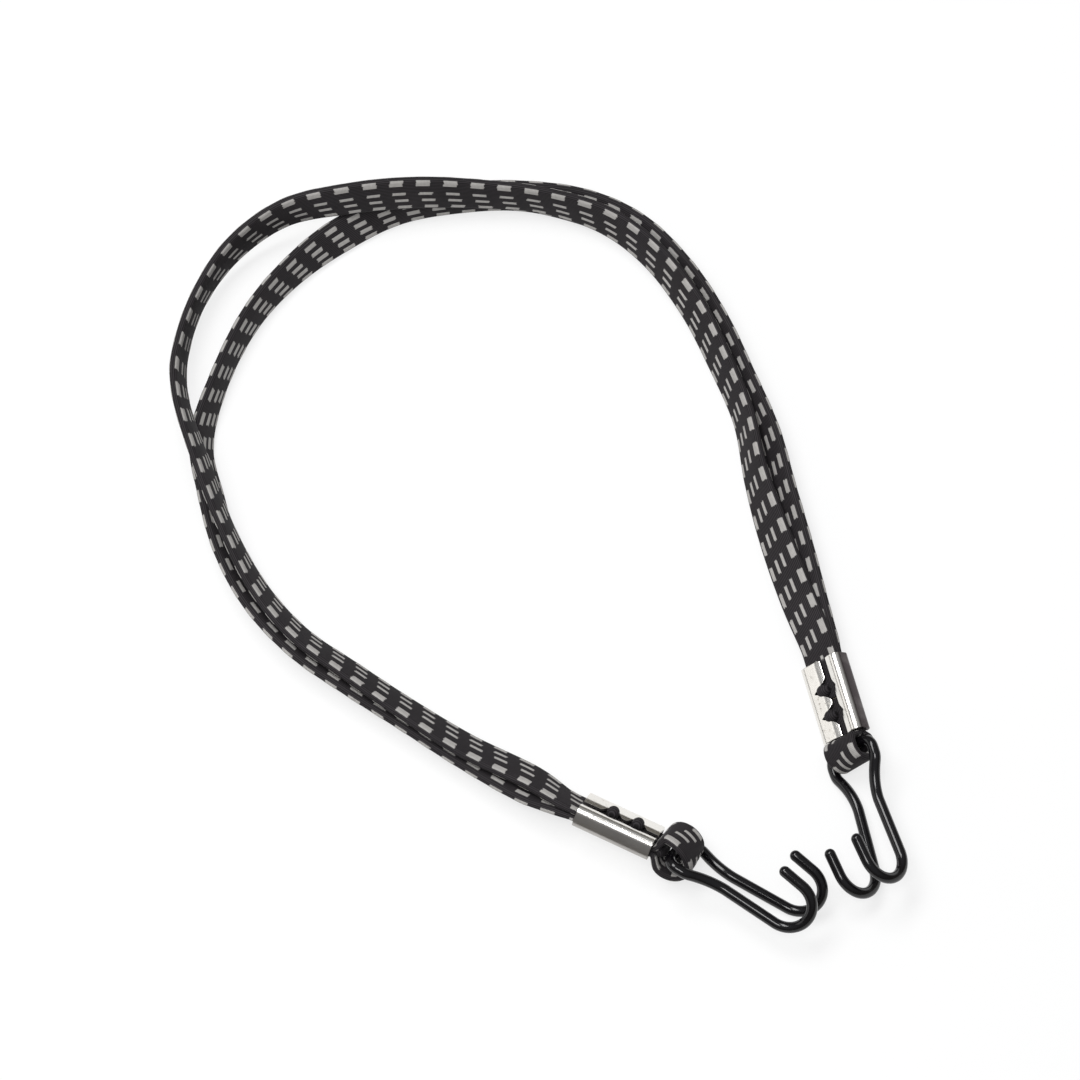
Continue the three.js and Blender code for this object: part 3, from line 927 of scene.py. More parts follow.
@dataclass
class WovenTube:
    """Builds the woven cover and the rubber threads of any stretch of band."""

    weave: Weave
    places: int = 96
    bore_places: int = 24
    bore_every: int = 8
    float_height: float = 0.00009
    rib_height: float = 0.00005
    dark_spot: tuple[float, float] = (0.0, 0.01)
    thread_count: int = 11
    thread_sides: int = 6
    thread_every: int = 4
    thread_radius: float = 0.00034
    thread_margin: float = 0.0011

    def bowed(self, at: Stations, across: np.ndarray) -> np.ndarray:
        """Finds how far camber moves points of the section along the front direction.

        Args:
            at: stations along the band.
            across: the points' offsets across, in metres.

        Returns:
            A grid of shifts in metres, stations by points, with a mean of about zero.
        """
        flat = self.weave.flat * MM
        level = (BAND.width / 2) ** 2 / 3
        return -(at.camber / (4 * flat))[:, None] * (across ** 2 - level)[None, :]

    def skin(self, at: Stations, creep: float) -> np.ndarray:
        """Finds the points of the ribbed outside with its raised floats.

        Args:
            at: stations along the band.
            creep: how far the weave has crept round the section, in mm.

        Returns:
            A grid of points, stations by places.
        """
        place = np.arange(self.places) * self.weave.perimeter / self.places
        across, normal, out_a, out_n = self.weave.section(place)
        lift = self.float_height * self.weave.raised(at.phase, place + creep)
        lift += self.rib_height * np.where(np.arange(self.places) % 2 == 0, 1.0, -1.0)[None, :]
        sideways = across[None, :] * MM + lift * out_a[None, :]
        outward = (normal[None, :] * MM + lift * out_n[None, :]) * at.ratio[:, None]
        return at.points(sideways, outward + self.bowed(at, across * MM))

    def bore(self, at: Stations) -> np.ndarray:
        """Finds the points of the smooth inside.

        Args:
            at: stations along the band.

        Returns:
            A grid of points, stations by places.
        """
        place = np.arange(self.bore_places) * self.weave.perimeter / self.bore_places
        across, normal = self.weave.section(place)[:2]
        across = across * MM * (1.0 - BAND.wall / (BAND.width / 2))
        normal = normal * MM * (1.0 - BAND.wall / (BAND.thickness / 2))
        return at.points(across[None, :], normal[None, :] * at.ratio[:, None] + self.bowed(at, across))

    def chart(self, at: Stations, creep: float) -> np.ndarray:
        """Maps the outside's quads by phase and share of the perimeter.

        Args:
            at: stations along the band.
            creep: how far the weave has crept round the section, in mm.

        Returns:
            A row for each corner of each quad.
        """
        share = np.arange(self.places + 1) / self.places + creep / self.weave.perimeter
        u0, u1, v0, v1 = at.phase[:-1, None], at.phase[1:, None], share[None, :-1], share[None, 1:]
        corners = [np.stack(np.broadcast_arrays(u, v), -1) for u, v in ((u0, v0), (u0, v1), (u1, v1), (u1, v0))]
        return np.stack(corners, 2).reshape(-1, 2)

    def rims(self, base: int, inner: int) -> list[tuple[int, ...]]:
        """Closes the two cut ends between the outside and the bore.

        Args:
            base: index of the bore's first point.
            inner: how many rings the bore has.

        Returns:
            Vertex indices of each face.
        """
        step = self.places // self.bore_places
        ends = ((0, base, 1), (base - self.places, base + (inner - 1) * self.bore_places, -1))
        faces = []
        for skin_row, bore_row, way in ends:
            for k in range(self.bore_places):
                ring = [skin_row + (k * step + s) % self.places for s in range(step + 1)]
                rim = ring[::-1] + [bore_row + k, bore_row + (k + 1) % self.bore_places]
                faces.append(tuple(rim[::way]))
        return faces

    def cover(
            self, name: str, at: Stations, material: bpy.types.Material, creep: float = 0.0) -> bpy.types.Object:
        """Sweeps the ribbed skin with its raised floats, closed at both ends round its bore.

        Args:
            name: the piece's name.
            at: stations along the band.
            material: the woven finish.
            creep: how far the weave has crept round the section, in mm.

        Returns:
            The cover, with its map of phase and place.
        """
        skin, bore = self.skin(at, creep), self.bore(at.thinned(self.bore_every))
        base, inner = len(skin) * self.places, len(bore)
        hidden = [quad[::-1] for quad in ring_quads(base, inner, self.bore_places)] + self.rims(base, inner)
        faces = ring_quads(0, len(skin), self.places) + hidden
        piece = mesh_object(name, np.vstack([skin.reshape(-1, 3), bore.reshape(-1, 3)]), faces, material)
        plain = np.tile(self.dark_spot, (sum(len(face) for face in hidden), 1))
        pressed = np.repeat((1.0 - at.ratio) / (1.0 - BAND.pressed_ratio), self.places)
        gripped = np.concatenate([pressed, np.zeros(inner * self.bore_places)])
        map_weave(piece, np.vstack([self.chart(at, creep), plain]), gripped)
        if at.turned:
            piece.data.flip_normals()
        return piece

    def threads(self, name: str, at: Stations, material: bpy.types.Material) -> bpy.types.Object:
        """Lays a row of rubber threads in the cover's bore.

        Args:
            name: the piece's name.
            at: stations along the band.
            material: the rubber finish.

        Returns:
            The row of threads, as one piece.
        """
        thin, sides = at.thinned(self.thread_every), self.thread_sides
        turn = np.arange(sides) * math.tau / sides
        room = BAND.width - 2 * BAND.wall - 2 * self.thread_margin
        size = len(thin.centre) * sides
        points, faces = [], []
        for thread in range(self.thread_count):
            off = room * (thread / (self.thread_count - 1) - 0.5)
            across = (off + self.thread_radius * np.cos(turn))[None, :]
            normal = self.thread_radius * np.sin(turn)[None, :] * thin.ratio[:, None]
            points.append(thin.points(across, normal + self.bowed(thin, np.array([off]))).reshape(-1, 3))
            base = thread * size
            faces += ring_quads(base, len(thin.centre), sides)
            faces.append(tuple(range(base, base + sides))[::-1])
            faces.append(tuple(range(base + size - sides, base + size)))
        piece = mesh_object(name, np.vstack(points), faces, material)
        if not at.turned:
            piece.data.flip_normals()
        return piece


@dataclass
class BandRun:
    """One free run of the band from the left ferrule to the right one.

    Its level is the height of its ends in the ferrules, its camber is in degrees and its creep in mm.
    """

    name: str
    route: tuple[tuple[float, ...], ...]
    dashes: tuple[tuple[float, int], ...]
    showing: Showing
    level: float
    camber: float
    creep: float
    tube: WovenTube
    steps: int = 660

    def gripped(self, end: End) -> tuple[list, list]:
        """Finds the rails' points in and just outside one ferrule.

        Args:
            end: which ferrule.

        Returns:
            Centre points and outer edge points, from the cut end outward.
        """
        place = PLACES[end]
        swollen = self.level + math.copysign((BAND.thickness - BAND.pressed) / 2, self.level - FERRULE.middle)
        spots = ((-FERRULE.band_end, self.level), (-FERRULE.length + BAND.clearance, self.level),
                 (-FERRULE.length - BAND.easing, swollen))
        matrix = place.matrix()
        centres = [matrix @ Vector((x, 0, z)) for x, z in spots]
        edges = [matrix @ Vector((x, place.side * BAND.width / 2, z)) for x, z in spots]
        return centres, edges

    def grounded(self) -> tuple[list, list]:
        """Finds the rails' points along the route.

        Returns:
            Centre points and outer edge points.
        """
        centres, edges = [], []
        for k, (x, y, lift, lean) in enumerate(self.route):
            tilt = math.radians(lean)
            after = self.route[min(k + 1, len(self.route) - 1)]
            before = self.route[max(k - 1, 0)]
            outward = Vector((before[1] - after[1], after[0] - before[0], 0)).normalized()
            centre = Vector((x, y, lift + BAND.rest(tilt)))
            edge = centre + outward * (BAND.width / 2 * math.cos(tilt))
            edge.z += BAND.width / 2 * math.sin(tilt)
            centres.append(centre)
            edges.append(edge)
        return centres, edges

    def stations(self) -> Stations:
        """Lays the run's stations.

        Returns:
            The stations, with the dash phase and camber of each.
        """
        left, right, ground = self.gripped(End.LEFT), self.gripped(End.RIGHT), self.grounded()
        rails = [np.array(left[k] + ground[k] + right[k][::-1]) for k in (0, 1)]
        at = band_stations(rails[0], rails[1], self.steps, FERRULE.grip)
        spots, counts = np.array(self.dashes, float).T
        pitch = (spots[-1] - spots[0]) / (counts[-1] - counts[0])
        count = np.interp(at.phase, spots, counts)
        count += np.minimum(at.phase - spots[0], 0) / pitch + np.maximum(at.phase - spots[-1], 0) / pitch
        at.phase = 0.5 + count * self.showing.value
        at.front = at.front * self.showing.value
        free = (at.ratio - BAND.pressed_ratio) / (1.0 - BAND.pressed_ratio)
        at.camber = math.radians(self.camber) * self.showing.value * free
        return at

    def build(self, woven: bpy.types.Material, rubber: bpy.types.Material) -> None:
        """Args:
            woven: finish of the cover.
            rubber: finish of the threads.
        """
        at = self.stations()
        cover = self.tube.cover(f"woven_run_{self.name}", at, woven, self.creep)
        threads = self.tube.threads(f"rubber_threads_run_{self.name}", at, rubber)
        dressed = ((cover, "band_cover", "band_cover"), (threads, "rubber_core", "rubber_threads"))
        for piece, node, slot in dressed:
            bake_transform(piece)
            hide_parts(f"{node}_run_{self.name}")
        log.info("run %s: %.0f mm between its cut ends", self.name, at.length / MM)


@dataclass
class BandEye:
    """The loop of band beyond one ferrule, round the hook's bight."""

    end: End
    body: str
    tube: WovenTube
    wrap: float = 240.0
    twist_fade: float = 0.65
    lead: float = 0.0007
    rail_steps: int = 8
    steps: int = 110
    pitch: float = 0.00835

    def stations(self) -> Stations:
        """Lays stations from the upper band round to the lower one.

        Returns:
            The stations, with the dash phase of each.
        """
        place = PLACES[self.end]
        matrix, grip = place.matrix(), FERRULE.grip
        half = Vector((0, place.side * BAND.width / 2, 0))
        lead_in = [Vector((x, 0, 0)) for x in (-grip, -grip / 2, -self.lead, self.lead)]
        spots = [spot + Vector((0, 0, FERRULE.upper)) for spot in lead_in]
        rims = [spot + half for spot in spots]
        middle = Vector((place.eye_reach, 0, place.eye_height))
        for k in range(self.rail_steps + 1):
            angle = math.radians(self.wrap / 2 - k * self.wrap / self.rail_steps)
            twist = place.side * math.radians(place.eye_twist) * math.cos(self.twist_fade * angle)
            turn = Matrix.Rotation(twist, 3, "X")
            spot = Vector((place.eye_radius * math.cos(angle), 0, place.eye_radius * math.sin(angle)))
            spots.append(middle + turn @ spot)
            rims.append(middle + turn @ (spot + half))
        back = [spot + Vector((0, 0, FERRULE.lower)) for spot in reversed(lead_in)]
        centres = np.array([matrix @ spot for spot in spots + back])
        edges = np.array([matrix @ rim for rim in rims + [spot + half for spot in back]])
        at = band_stations(centres, edges, self.steps, grip + self.lead)
        at.phase = at.phase / self.pitch
        at.front = at.front * place.side
        return at

    def build(self, woven: bpy.types.Material, rubber: bpy.types.Material) -> None:
        """Makes the eye's cover and threads.

        Args:
            woven: finish of the cover.
            rubber: finish of the threads.
        """
        at, name = self.stations(), self.end.value
        cover = self.tube.cover(f"woven_eye_{name}", at, woven)
        threads = self.tube.threads(f"rubber_threads_eye_{name}", at, rubber)
        mount(cover, self.body, f"band_cover_eye_{name}")
        mount(threads, self.body, f"rubber_core_eye_{name}")
        log.info("eye %s: %.1f mm bore", name, PLACES[self.end].eye_bore / MM)


def only(piece: bpy.types.Object) -> None:
    """Makes one object the only selected and active one.

    Args:
        piece: the object.
    """
    bpy.ops.object.select_all(action="DESELECT")
    piece.select_set(True)
    bpy.context.view_layer.objects.active = piece


def apply_modifiers(piece: bpy.types.Object) -> None:
    """Applies every modifier of a piece in order."""
    only(piece)
    for modifier in list(piece.modifiers):
        bpy.ops.object.modifier_apply(modifier=modifier.name)


@dataclass
class Ferrule:
    """One sheet folded round both bands, its toothed lips turned in along an open seam.

    The painted reflection share, 0 to 1, is how much dark reflection is painted into the outer side wall's
    colour; it comes in over two angles of the upper fold, in degrees.
    """

    end: End
    body: str
    painted_reflection_share: float
    painted_reflection_angles: tuple[float, float] = (60.0, 76.0)
    length_steps: int = 96
    fold_steps: int = 8
    lip_steps: int = 18
    rim_bevel: float = 0.00016
    rim_segments: int = 2
    rim_angle: float = 50.0
    smooth_angle: float = 40.0
    near: float = 1e-6
    weld: float = 1e-7

    @property
    def seam(self) -> float:
        """Where the seam lies across the face."""
        return PLACES[self.end].side * FERRULE.seam_shift

    def dip(self, across: float) -> float:
        """How far the sheet turns in at a distance across the face."""
        return FERRULE.lip_dip * (1.0 - float(smoothstep(abs(across - self.seam), 0.0, FERRULE.lip_reach)))

    def half_section(self, direction: int) -> list[tuple[float, float]]:
        """Lists outer points of the section from the middle of the back to one lip.

        Args:
            direction: 1 towards +Y, -1 towards -Y.

        Returns:
            Points across and up.
        """
        w, h, r = FERRULE.half_width, FERRULE.half_height, FERRULE.corner
        points = [(0.0, -h), (direction * (w - r) * 0.5, -h)]
        for start, cy, cz in ((-90, w - r, -h + r), (0, w - r, h - r)):
            for k in range(self.fold_steps + 1):
                angle = math.radians(start + 90 * k / self.fold_steps)
                points.append((direction * (cy + r * math.cos(angle)), cz + r * math.sin(angle)))
        lip = self.seam + direction * FERRULE.seam_gap / 2
        first = points[-1][0]
        for k in range(1, self.lip_steps + 1):
            y = first + (lip - first) * k / self.lip_steps
            points.append((y, h - self.dip(y)))
        return points

    def cut(self, along: float, direction: int) -> float:
        """Depth of the notches in one lip at a place along the ferrule.

        Args:
            along: distance from the hook-side mouth, negative inwards.
            direction: which lip, by its side of the seam.

        Returns:
            The depth in metres.
        """
        outer = direction == PLACES[self.end].side
        depth = FERRULE.shallow_notch if outer else FERRULE.deep_notch
        width = FERRULE.shallow_width if outer else FERRULE.deep_width
        off = min(abs(along - notch) for notch in FERRULE.notches) / (width / 2)
        return depth * max(0.0, 1.0 - off) ** FERRULE.notch_sharpness

    def fold(self) -> bpy.types.Object:
        """Folds the sheet from a strip along the back, one extrusion for each turn of the section.

        Returns:
            The open sheet, in the end's frame.
        """
        right, left = self.half_section(1), self.half_section(-1)
        wide = right[1][0] - left[1][0]
        bpy.ops.object.select_all(action="DESELECT")
        bpy.ops.mesh.primitive_grid_add(
            x_subdivisions=self.length_steps, y_subdivisions=2, size=1,
            location=(-FERRULE.length / 2, (right[1][0] + left[1][0]) / 2, right[0][1]))
        piece = bpy.context.object
        piece.scale = (FERRULE.length, wide, 1)
        bpy.ops.object.transform_apply(location=True, rotation=False, scale=True)
        bpy.ops.object.mode_set(mode="EDIT")
        bpy.ops.mesh.select_mode(type="EDGE")
        for section in (right, left):
            bpy.ops.mesh.select_all(action="DESELECT")
            start_y, start_z = section[1]
            sheet = bmesh.from_edit_mesh(piece.data)
            for edge in sheet.edges:
                edge.select = all(
                    abs(v.co.y - start_y) < self.near and abs(v.co.z - start_z) < self.near for v in edge.verts)
            bmesh.update_edit_mesh(piece.data)
            for (y0, z0), (y1, z1) in zip(section[1:], section[2:]):
                bpy.ops.mesh.extrude_region_move(TRANSFORM_OT_translate={"value": (0, y1 - y0, z1 - z0)})
        bpy.ops.object.mode_set(mode="OBJECT")
        return piece

    def tooth(self, piece: bpy.types.Object) -> None:
        """Draws the lips back to their toothed edges, keeping them on the turned-in sheet.

        Args:
            piece: the folded sheet.
        """
        half_gap = FERRULE.seam_gap / 2
        for vertex in piece.data.vertices:
            x, y, z = vertex.co
            direction = 1 if y > self.seam else -1
            zone = FERRULE.half_width - FERRULE.corner - direction * self.seam
            off = abs(y - self.seam)
            if z < 0 or off > zone:
                continue
            share = (off - half_gap) / (zone - half_gap)
            edge = half_gap + self.cut(x, direction)
            vertex.co.y = self.seam + direction * (edge + share * (zone - edge))
            vertex.co.z = FERRULE.half_height - self.dip(vertex.co.y)

    def darken(self, piece: bpy.types.Object) -> None:
        """Marks the sheet's outer side wall, where a dark reflection is painted into the colour.

        Args:
            piece: the sheet, with its thickness.
        """
        side = PLACES[self.end].side
        layer = piece.data.attributes.new("painted_reflection_share", "FLOAT", "POINT")
        for vertex, mark in zip(piece.data.vertices, layer.data):
            out = side * vertex.co.y - FERRULE.half_width + FERRULE.corner
            up = max(0.0, vertex.co.z - FERRULE.half_height + FERRULE.corner)
            turned = math.degrees(math.atan2(out, up)) if out > 0 else 0.0
            # Painted dark reflection: none on the upper face and lips, rising late in the upper fold, full on
            # the outer side wall.
            mark.value = self.painted_reflection_share * float(smoothstep(turned, *self.painted_reflection_angles))

    def build(self, plated: bpy.types.Material) -> None:
        """Folds, tooths and thickens the sheet, and puts it in its place.

        Args:
            plated: its finish.
        """
        piece = self.fold()
        piece.name = piece.data.name = f"folded_ferrule_{self.end.value}"
        self.tooth(piece)
        only(piece)
        bpy.ops.object.mode_set(mode="EDIT")
        bpy.ops.mesh.select_all(action="SELECT")
        bpy.ops.mesh.remove_doubles(threshold=self.weld)
        bpy.ops.mesh.normals_make_consistent(inside=False)
        bpy.ops.object.mode_set(mode="OBJECT")
        wall = piece.modifiers.new("wall", "SOLIDIFY")
        wall.thickness = FERRULE.sheet
        wall.offset = -1
        wall.use_even_offset = True
        rim = piece.modifiers.new("rim", "BEVEL")
        rim.width = self.rim_bevel
        rim.segments = self.rim_segments
        rim.limit_method = "ANGLE"
        rim.angle_limit = math.radians(self.rim_angle)
        apply_modifiers(piece)
        bpy.ops.object.shade_smooth_by_angle(angle=math.radians(self.smooth_angle))
        self.darken(piece)
        piece.data.transform(PLACES[self.end].matrix())
        piece.data.materials.append(plated)
        mount(piece, self.body, f"ferrule_{self.end.value}")
        log.info("ferrule %s: %d faces", self.end.value, len(piece.data.polygons))


@dataclass
class PinchedBand:
    """Humps of band that a ferrule squeezes up through its notches and out of its mouth."""

    end: End
    body: str
    weave: Weave
    notch_radii: Triple = (0.0019, 0.0022, 0.0021)
    sunk: float = 0.0009
    reach: float = 0.0019
    throat_width: float = 0.0108
    throat_slope: float = 0.95
    wire_gap: float = 0.0019
    pitch: float = 0.0084
    front_middle: float = 0.25
    rows: int = 18
    columns: int = 30

    def hump(self, middle: Vector, radii: Triple) -> tuple[list, list]:
        """Makes one closed hump.

        Args:
            middle: its centre in the end's frame.
            radii: its half sizes along the three axes.

        Returns:
            Points, and faces from index 0.
        """
        points = [middle + Vector((0, 0, radii[2]))]
        for row in range(1, self.rows):
            down = math.pi * row / self.rows
            for k in range(self.columns):
                turn = math.tau * k / self.columns
                unit = (math.sin(down) * math.cos(turn), math.sin(down) * math.sin(turn), math.cos(down))
                points.append(middle + Vector([u * r for u, r in zip(unit, radii)]))
        points.append(middle - Vector((0, 0, radii[2])))
        last, faces = len(points) - 1, []
        for k in range(self.columns):
            j = (k + 1) % self.columns
            faces.append((0, 1 + k, 1 + j))
            faces.append((last, last - self.columns + j, last - self.columns + k))
            for row in range(self.rows - 2):
                above, below = 1 + row * self.columns, 1 + (row + 1) * self.columns
                faces.append((above + k, below + k, below + j, above + j))
        return points, faces

    def build(self, woven: bpy.types.Material) -> None:
        """Makes the humps of one ferrule, with their map of phase and place.

        Args:
            woven: finish of the band.
        """
        place = PLACES[self.end]
        across = place.side * (FERRULE.seam_shift - FERRULE.seam_gap / 2 - self.reach)
        above = FERRULE.half_height - self.sunk
        humps = [(Vector((notch, across, above)), self.notch_radii) for notch in FERRULE.notches]
        throat = (place.eye_reach + place.bight_shift - self.wire_gap) / 2
        throat_radii = (throat, self.throat_width / 2, throat * self.throat_slope)
        humps.append((Vector((throat, 0, FERRULE.middle)), throat_radii))
        points, faces = [], []
        for middle, radii in humps:
            spots, turns = self.hump(middle, radii)
            faces += [tuple(len(points) + k for k in face) for face in turns]
            points += spots
        flat = np.array(points)
        piece = mesh_object(f"pinched_band_{self.end.value}", flat, faces, woven)
        corners = flat[[k for face in faces for k in face]]
        shares = self.front_middle + corners[:, 1] / MM / self.weave.perimeter
        map_weave(piece, np.stack([corners[:, 0] / self.pitch, shares], -1), np.ones(len(flat)))
        piece.data.transform(place.matrix())
        mount(piece, self.body)
        log.info("pinched band %s: %d humps", self.end.value, len(humps))


@dataclass
class DoubleHook:
    """One wire in a plastic coat, bent to a bight and two J-shaped legs."""

    end: End
    body: str
    coat_radius: float = 0.00165
    coat: float = 0.0004
    split: float = 0.0003
    bight_bend: float = 0.003
    side_play: float = 0.0011
    leg_length: float = 0.0353
    leg_spacing: float = 0.0117
    waist_spacing: float = 0.0089
    taper_start: float = 0.0046
    taper_end: float = 0.018
    taper_knee: float = 0.2
    j_radius: float = 0.0075
    tip_length: float = 0.00815
    tip_splay: float = 10.0
    straight_steps: int = 6
    bend_steps: int = 14
    taper_steps: int = 24
    leg_steps: int = 14
    j_steps: int = 40
    dome_steps: int = 9
    dome_turn: float = 88.0
    round_steps: int = 7
    smooth_angle: float = 50.0

    def drawn_in(self, along: float) -> float:
        """Finds how far a leg has come in at a distance from the bight.

        Args:
            along: the distance.

        Returns:
            0 at the bight's full width, 1 at the waist.
        """
        share = max(0.0, (along - self.taper_start) / (self.taper_end - self.taper_start))
        if share < self.taper_knee:
            return share ** 2 / self.taper_knee
        return 1 - (1 - share) ** 2 / (1 - self.taper_knee)

    def shank(self) -> list[Triple]:
        """Lists the flat part of a leg's centreline, from the middle of the bight to the J.

        Returns:
            Points in the hook's frame.
        """
        bight, bend = BAND.width / 2 + self.side_play + self.coat_radius, self.bight_bend
        start, straight, waist = self.split / 2, bight - bend, self.waist_spacing / 2
        points = []
        for k in range(self.straight_steps):
            points.append((0.0, start + (straight - start) * k / self.straight_steps, 0.0))
        for k in range(self.bend_steps + 1):
            angle = math.radians(90 * k / self.bend_steps)
            points.append((bend * (1 - math.cos(angle)), bight - bend * (1 - math.sin(angle)), 0.0))
        for k in range(1, self.taper_steps + 1):
            along = bend + (self.taper_end - bend) * k / self.taper_steps
            points.append((along, bight + (waist - bight) * self.drawn_in(along), 0.0))
        run, spread = self.leg_length - self.taper_end, (self.leg_spacing - self.waist_spacing) / 2
        for k in range(1, self.leg_steps):
            points.append((self.taper_end + run * k / self.leg_steps, waist + spread * k / self.leg_steps, 0.0))
        return points

    def leg(self, side: int) -> list[tuple[Vector, float]]:
        """Lists the centreline of one leg from the middle of the bight to its rounded tip.

        Args:
            side: which side of the hook.

        Returns:
            Points in the hook's frame, each with the coat's share of its full radius.
        """
        points = self.shank()
        heading = math.radians(180.0 - self.tip_splay)
        out = self.leg_spacing / 2
        for k in range(self.j_steps + 1):
            angle = heading * k / self.j_steps
            points.append((self.leg_length + self.j_radius * math.sin(angle), out,
                           self.j_radius * (1 - math.cos(angle))))
        x, z = points[-1][0], points[-1][2]
        for k in range(1, self.straight_steps + 1):
            reach = (self.tip_length - self.coat_radius) * k / self.straight_steps
            points.append((x + reach * math.cos(heading), out, z + reach * math.sin(heading)))
        rings = [(Vector((px, side * py, pz)), 1.0) for px, py, pz in points]
        end = rings[-1][0]
        ahead = Vector((math.cos(heading), 0, math.sin(heading)))
        for k in range(1, self.dome_steps + 1):
            angle = math.radians(self.dome_turn * k / self.dome_steps)
            rings.append((end + ahead * self.coat_radius * math.sin(angle), math.cos(angle)))
        return rings

    def sleeve(self, name: str, side: int, dipped: bpy.types.Material) -> bpy.types.Object:
        """Makes one leg's coat from a round-bevelled path, closed at the tip and hollow for the wire.

        Args:
            name: the piece's name.
            side: which side of the hook.
            dipped: its finish.

        Returns:
            The coat.
        """
        bpy.ops.object.select_all(action="DESELECT")
        bpy.ops.curve.primitive_nurbs_path_add(location=(0, 0, 0))
        path = bpy.context.object
        path.data.splines.clear()
        spline = path.data.splines.new("POLY")
        rings = self.leg(side)
        spline.points.add(len(rings) - 1)
        for point, (spot, share) in zip(spline.points, rings):
            point.co = (*spot, 1.0)
            point.radius = share
        path.data.bevel_depth = self.coat_radius
        path.data.bevel_resolution = self.round_steps
        path.data.use_fill_caps = False
        only(path)
        bpy.ops.object.convert(target="MESH")
        piece = bpy.context.object
        piece.name = piece.data.name = name
        tip = rings[-1][0]
        bpy.ops.object.mode_set(mode="EDIT")
        bpy.ops.mesh.select_mode(type="VERT")
        bpy.ops.mesh.select_all(action="DESELECT")
        skin = bmesh.from_edit_mesh(piece.data)
        for vertex in skin.verts:
            vertex.select = vertex.is_boundary and (vertex.co - tip).length < self.coat_radius / 2
        bmesh.update_edit_mesh(piece.data)
        bpy.ops.mesh.merge(type="CENTER")
        bpy.ops.mesh.select_all(action="SELECT")
        bpy.ops.mesh.normals_make_consistent(inside=False)
        bpy.ops.object.mode_set(mode="OBJECT")
        wall = piece.modifiers.new("wall", "SOLIDIFY")
        wall.thickness = self.coat
        wall.offset = -1
        apply_modifiers(piece)
        bpy.ops.object.shade_smooth_by_angle(angle=math.radians(self.smooth_angle))
        piece.data.transform(PLACES[self.end].hook_matrix())
        piece.data.materials.clear()
        piece.data.materials.append(dipped)
        return piece

    def build(self, dipped: bpy.types.Material, wire: bpy.types.Material) -> None:
        """Makes both coats and dresses the wire.

        Args:
            dipped: finish of the coats.
            wire: finish of the wire.
        """
        end, outward = self.end.value, PLACES[self.end].side
        for which, side in (("outer", outward), ("inner", -outward)):
            piece = self.sleeve(f"dipped_coat_{end}_{which}", side, dipped)
            mount(piece, self.body, f"hook_coat_{end}_{which}")
            log.info("hook coat %s %s: %d faces", end, which, len(piece.data.polygons))
        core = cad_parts[f"hook_wire_{end}"]
        core.data.materials.clear()
        core.data.materials.append(wire)


@dataclass(frozen=True)
class Panel:
    """One soft lamp: its name, place and size in metres, and power in watts."""

    name: str
    spot: Triple
    size: tuple[float, float]
    power: float


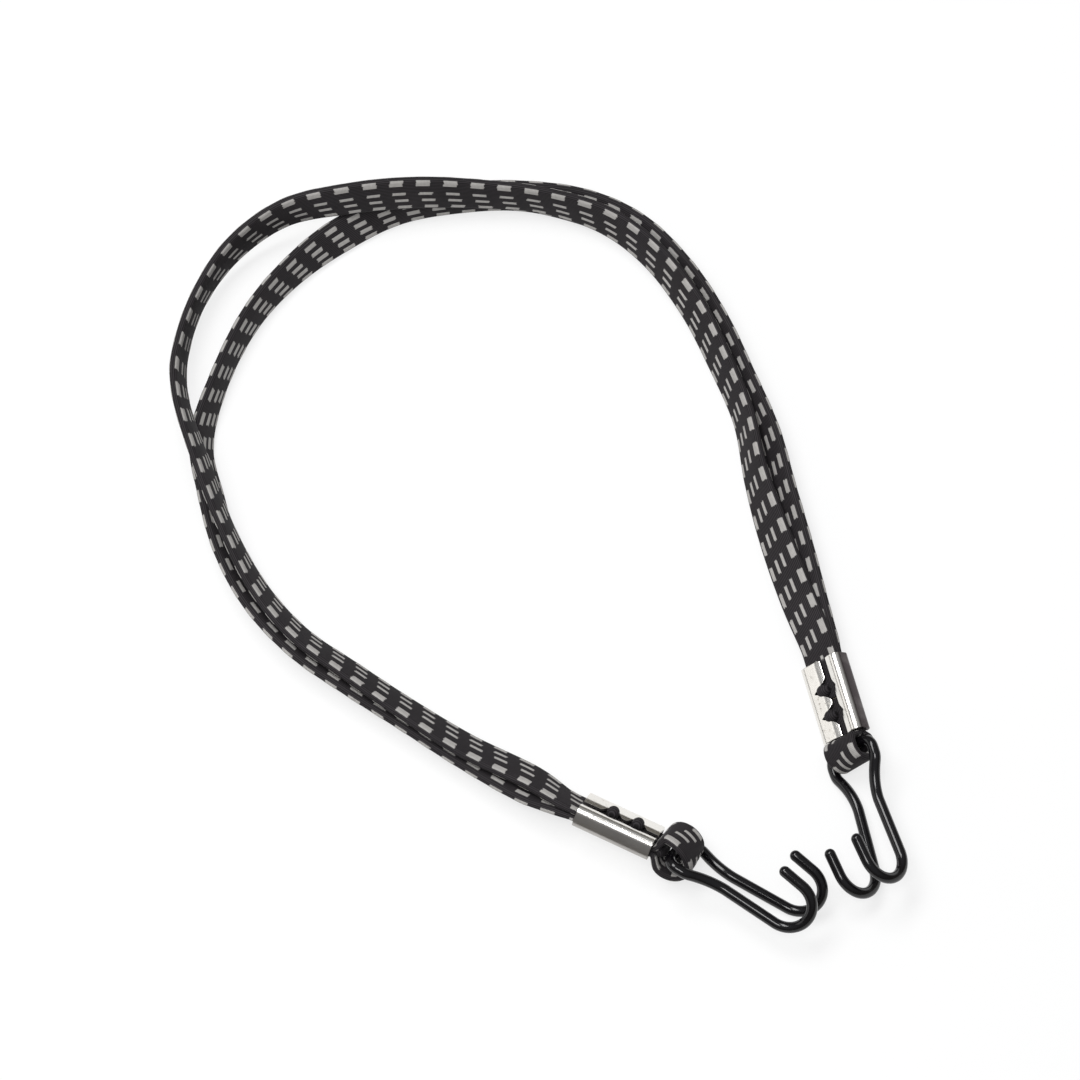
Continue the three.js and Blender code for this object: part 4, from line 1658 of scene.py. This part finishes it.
@dataclass
class Studio:
    """Plain pale floor, soft light and the camera at the photograph's angle."""

    target: Triple = (-0.05766, 0.0822, 0.0)
    elevation: float = 69.2
    distance: float = 1.338
    focal: float = 148.67
    sensor: float = 36.0
    farthest: float = 30.0
    floor_size: float = 6.0
    floor_drop: float = 0.0002
    floor_colour: Colour = grey(0.95, 0.95, 0.95)
    white: Colour = grey(1, 1, 1)
    white_share: float = 0.72
    zenith: Colour = grey(0.37, 0.375, 0.385)
    horizon: Colour = grey(0.13, 0.12, 0.105)
    sky_blend: tuple[float, float] = (0.1, 0.85)
    panels: tuple[Panel, ...] = (
        Panel("key", (-0.46, 0.40, 1.34), (0.95, 0.45), 12.5),
        Panel("front", (-0.18, -0.35, 1.50), (0.5, 0.42), 7.0),
        Panel("fill", (-1.15, 0.15, 0.35), (0.7, 0.5), 1.15),
    )

    def camera(self) -> None:
        """Sets up the camera."""
        tilt = math.radians(self.elevation)
        lens = bpy.data.cameras.new("view")
        lens.lens = self.focal
        lens.sensor_width = self.sensor
        lens.clip_end = self.farthest
        view = bpy.data.objects.new("view", lens)
        view.location = Vector(self.target) + Vector((0, -math.cos(tilt), math.sin(tilt))) * self.distance
        view.rotation_euler = (math.pi / 2 - tilt, 0, 0)
        bpy.context.scene.collection.objects.link(view)
        bpy.context.scene.camera = view

    def seen(self, shader: Shader) -> Sock:
        """Finds the rays that show the background itself, straight, mirrored or let through.

        Args:
            shader: the tree to work in.

        Returns:
            1 for such a ray and 0 for others.
        """
        path = shader.add("ShaderNodeLightPath")
        shown = path.of("Is Camera Ray")
        for name in ("Is Glossy Ray", "Is Transmission Ray"):
            shown = shown.larger(path.of(name))
        return shown

    def floor(self) -> None:
        """Lays the floor, which keeps the strap's shadow on near white."""
        bpy.ops.object.select_all(action="DESELECT")
        bpy.ops.mesh.primitive_plane_add(size=self.floor_size, location=(0, 0, -self.floor_drop))
        floor = bpy.context.object
        floor.name = "floor"
        shader = Shader.material("pale_floor")
        matt = shader.add("ShaderNodeBsdfDiffuse", None, {"Color": self.floor_colour})
        white = shader.add("ShaderNodeEmission", None, {"Color": self.white, "Strength": 1.0})
        share = self.seen(shader) * self.white_share
        both = shader.add("ShaderNodeMixShader", None, {0: share, 1: matt, 2: white})
        shader.add("ShaderNodeOutputMaterial", None, {"Surface": both})
        floor.data.materials.append(shader.owner)

    def sky(self) -> None:
        """Grades the world from a bright zenith to a dim horizon."""
        world = bpy.data.worlds.new("studio")
        bpy.context.scene.world = world
        shader = Shader(world)
        way = shader.add("ShaderNodeTexCoord", None, None, 0)
        rise = shader.add("ShaderNodeSeparateXYZ", None, {0: way}).of(2)
        colour = shader.mix(rise.ease(*self.sky_blend), self.horizon, self.zenith)
        back = shader.add("ShaderNodeBackground", None, {"Color": colour, "Strength": 1.0})
        shader.add("ShaderNodeOutputWorld", None, {"Surface": back})

    def light(self, panel: Panel) -> None:
        """Adds one soft lamp that faces the middle of the strap.

        Args:
            panel: the lamp.
        """
        lamp = bpy.data.lights.new(panel.name, "AREA")
        lamp.shape = "RECTANGLE"
        lamp.size, lamp.size_y = panel.size
        lamp.energy = panel.power
        stand = bpy.data.objects.new(panel.name, lamp)
        stand.location = panel.spot
        stand.rotation_euler = (Vector(self.target) - Vector(panel.spot)).to_track_quat("-Z", "Y").to_euler()
        bpy.context.scene.collection.objects.link(stand)

    def build(self) -> None:
        """Lights the strap and lays the floor."""
        bpy.context.scene.view_settings.view_transform = "Standard"
        self.sky()
        for panel in self.panels:
            self.light(panel)
        self.floor()


def main() -> None:
    """Builds the strap's dressed pieces in order."""
    logging.basicConfig(level=logging.INFO, format="%(name)s: %(message)s")
    studio = Studio()
    studio.camera()
    weave = Weave()
    woven = WovenFinish(weave).material()
    rubber = RubberFinish().material()
    tube = WovenTube(weave)
    runs = (
        BandRun("a", RUN_A, DASHES_A, Showing.FRONT, FERRULE.upper, camber=15.0, creep=0.0, tube=tube),
        BandRun("b", RUN_B, DASHES_B, Showing.BACK, FERRULE.lower, camber=22.0, creep=-1.1, tube=tube),
    )
    for run in runs:
        run.build(woven, rubber)
    plated = PlatedFinish().material()
    dipped = DippedFinish().material()
    wire = WireFinish().material()
    # Each ferrule's share of painted dark reflection on its outer side wall.
    ends = ((End.LEFT, "strap", "left_hook", 0.55), (End.RIGHT, "right_end", "right_hook", 1.0))
    for end, body, hook_body, painted_reflection_share in ends:
        BandEye(end, body, tube).build(woven, rubber)
        Ferrule(end, body, painted_reflection_share).build(plated)
        PinchedBand(end, body, weave).build(woven)
        DoubleHook(end, hook_body).build(dipped, wire)
    studio.build()


if __name__ == "__main__":
    main()
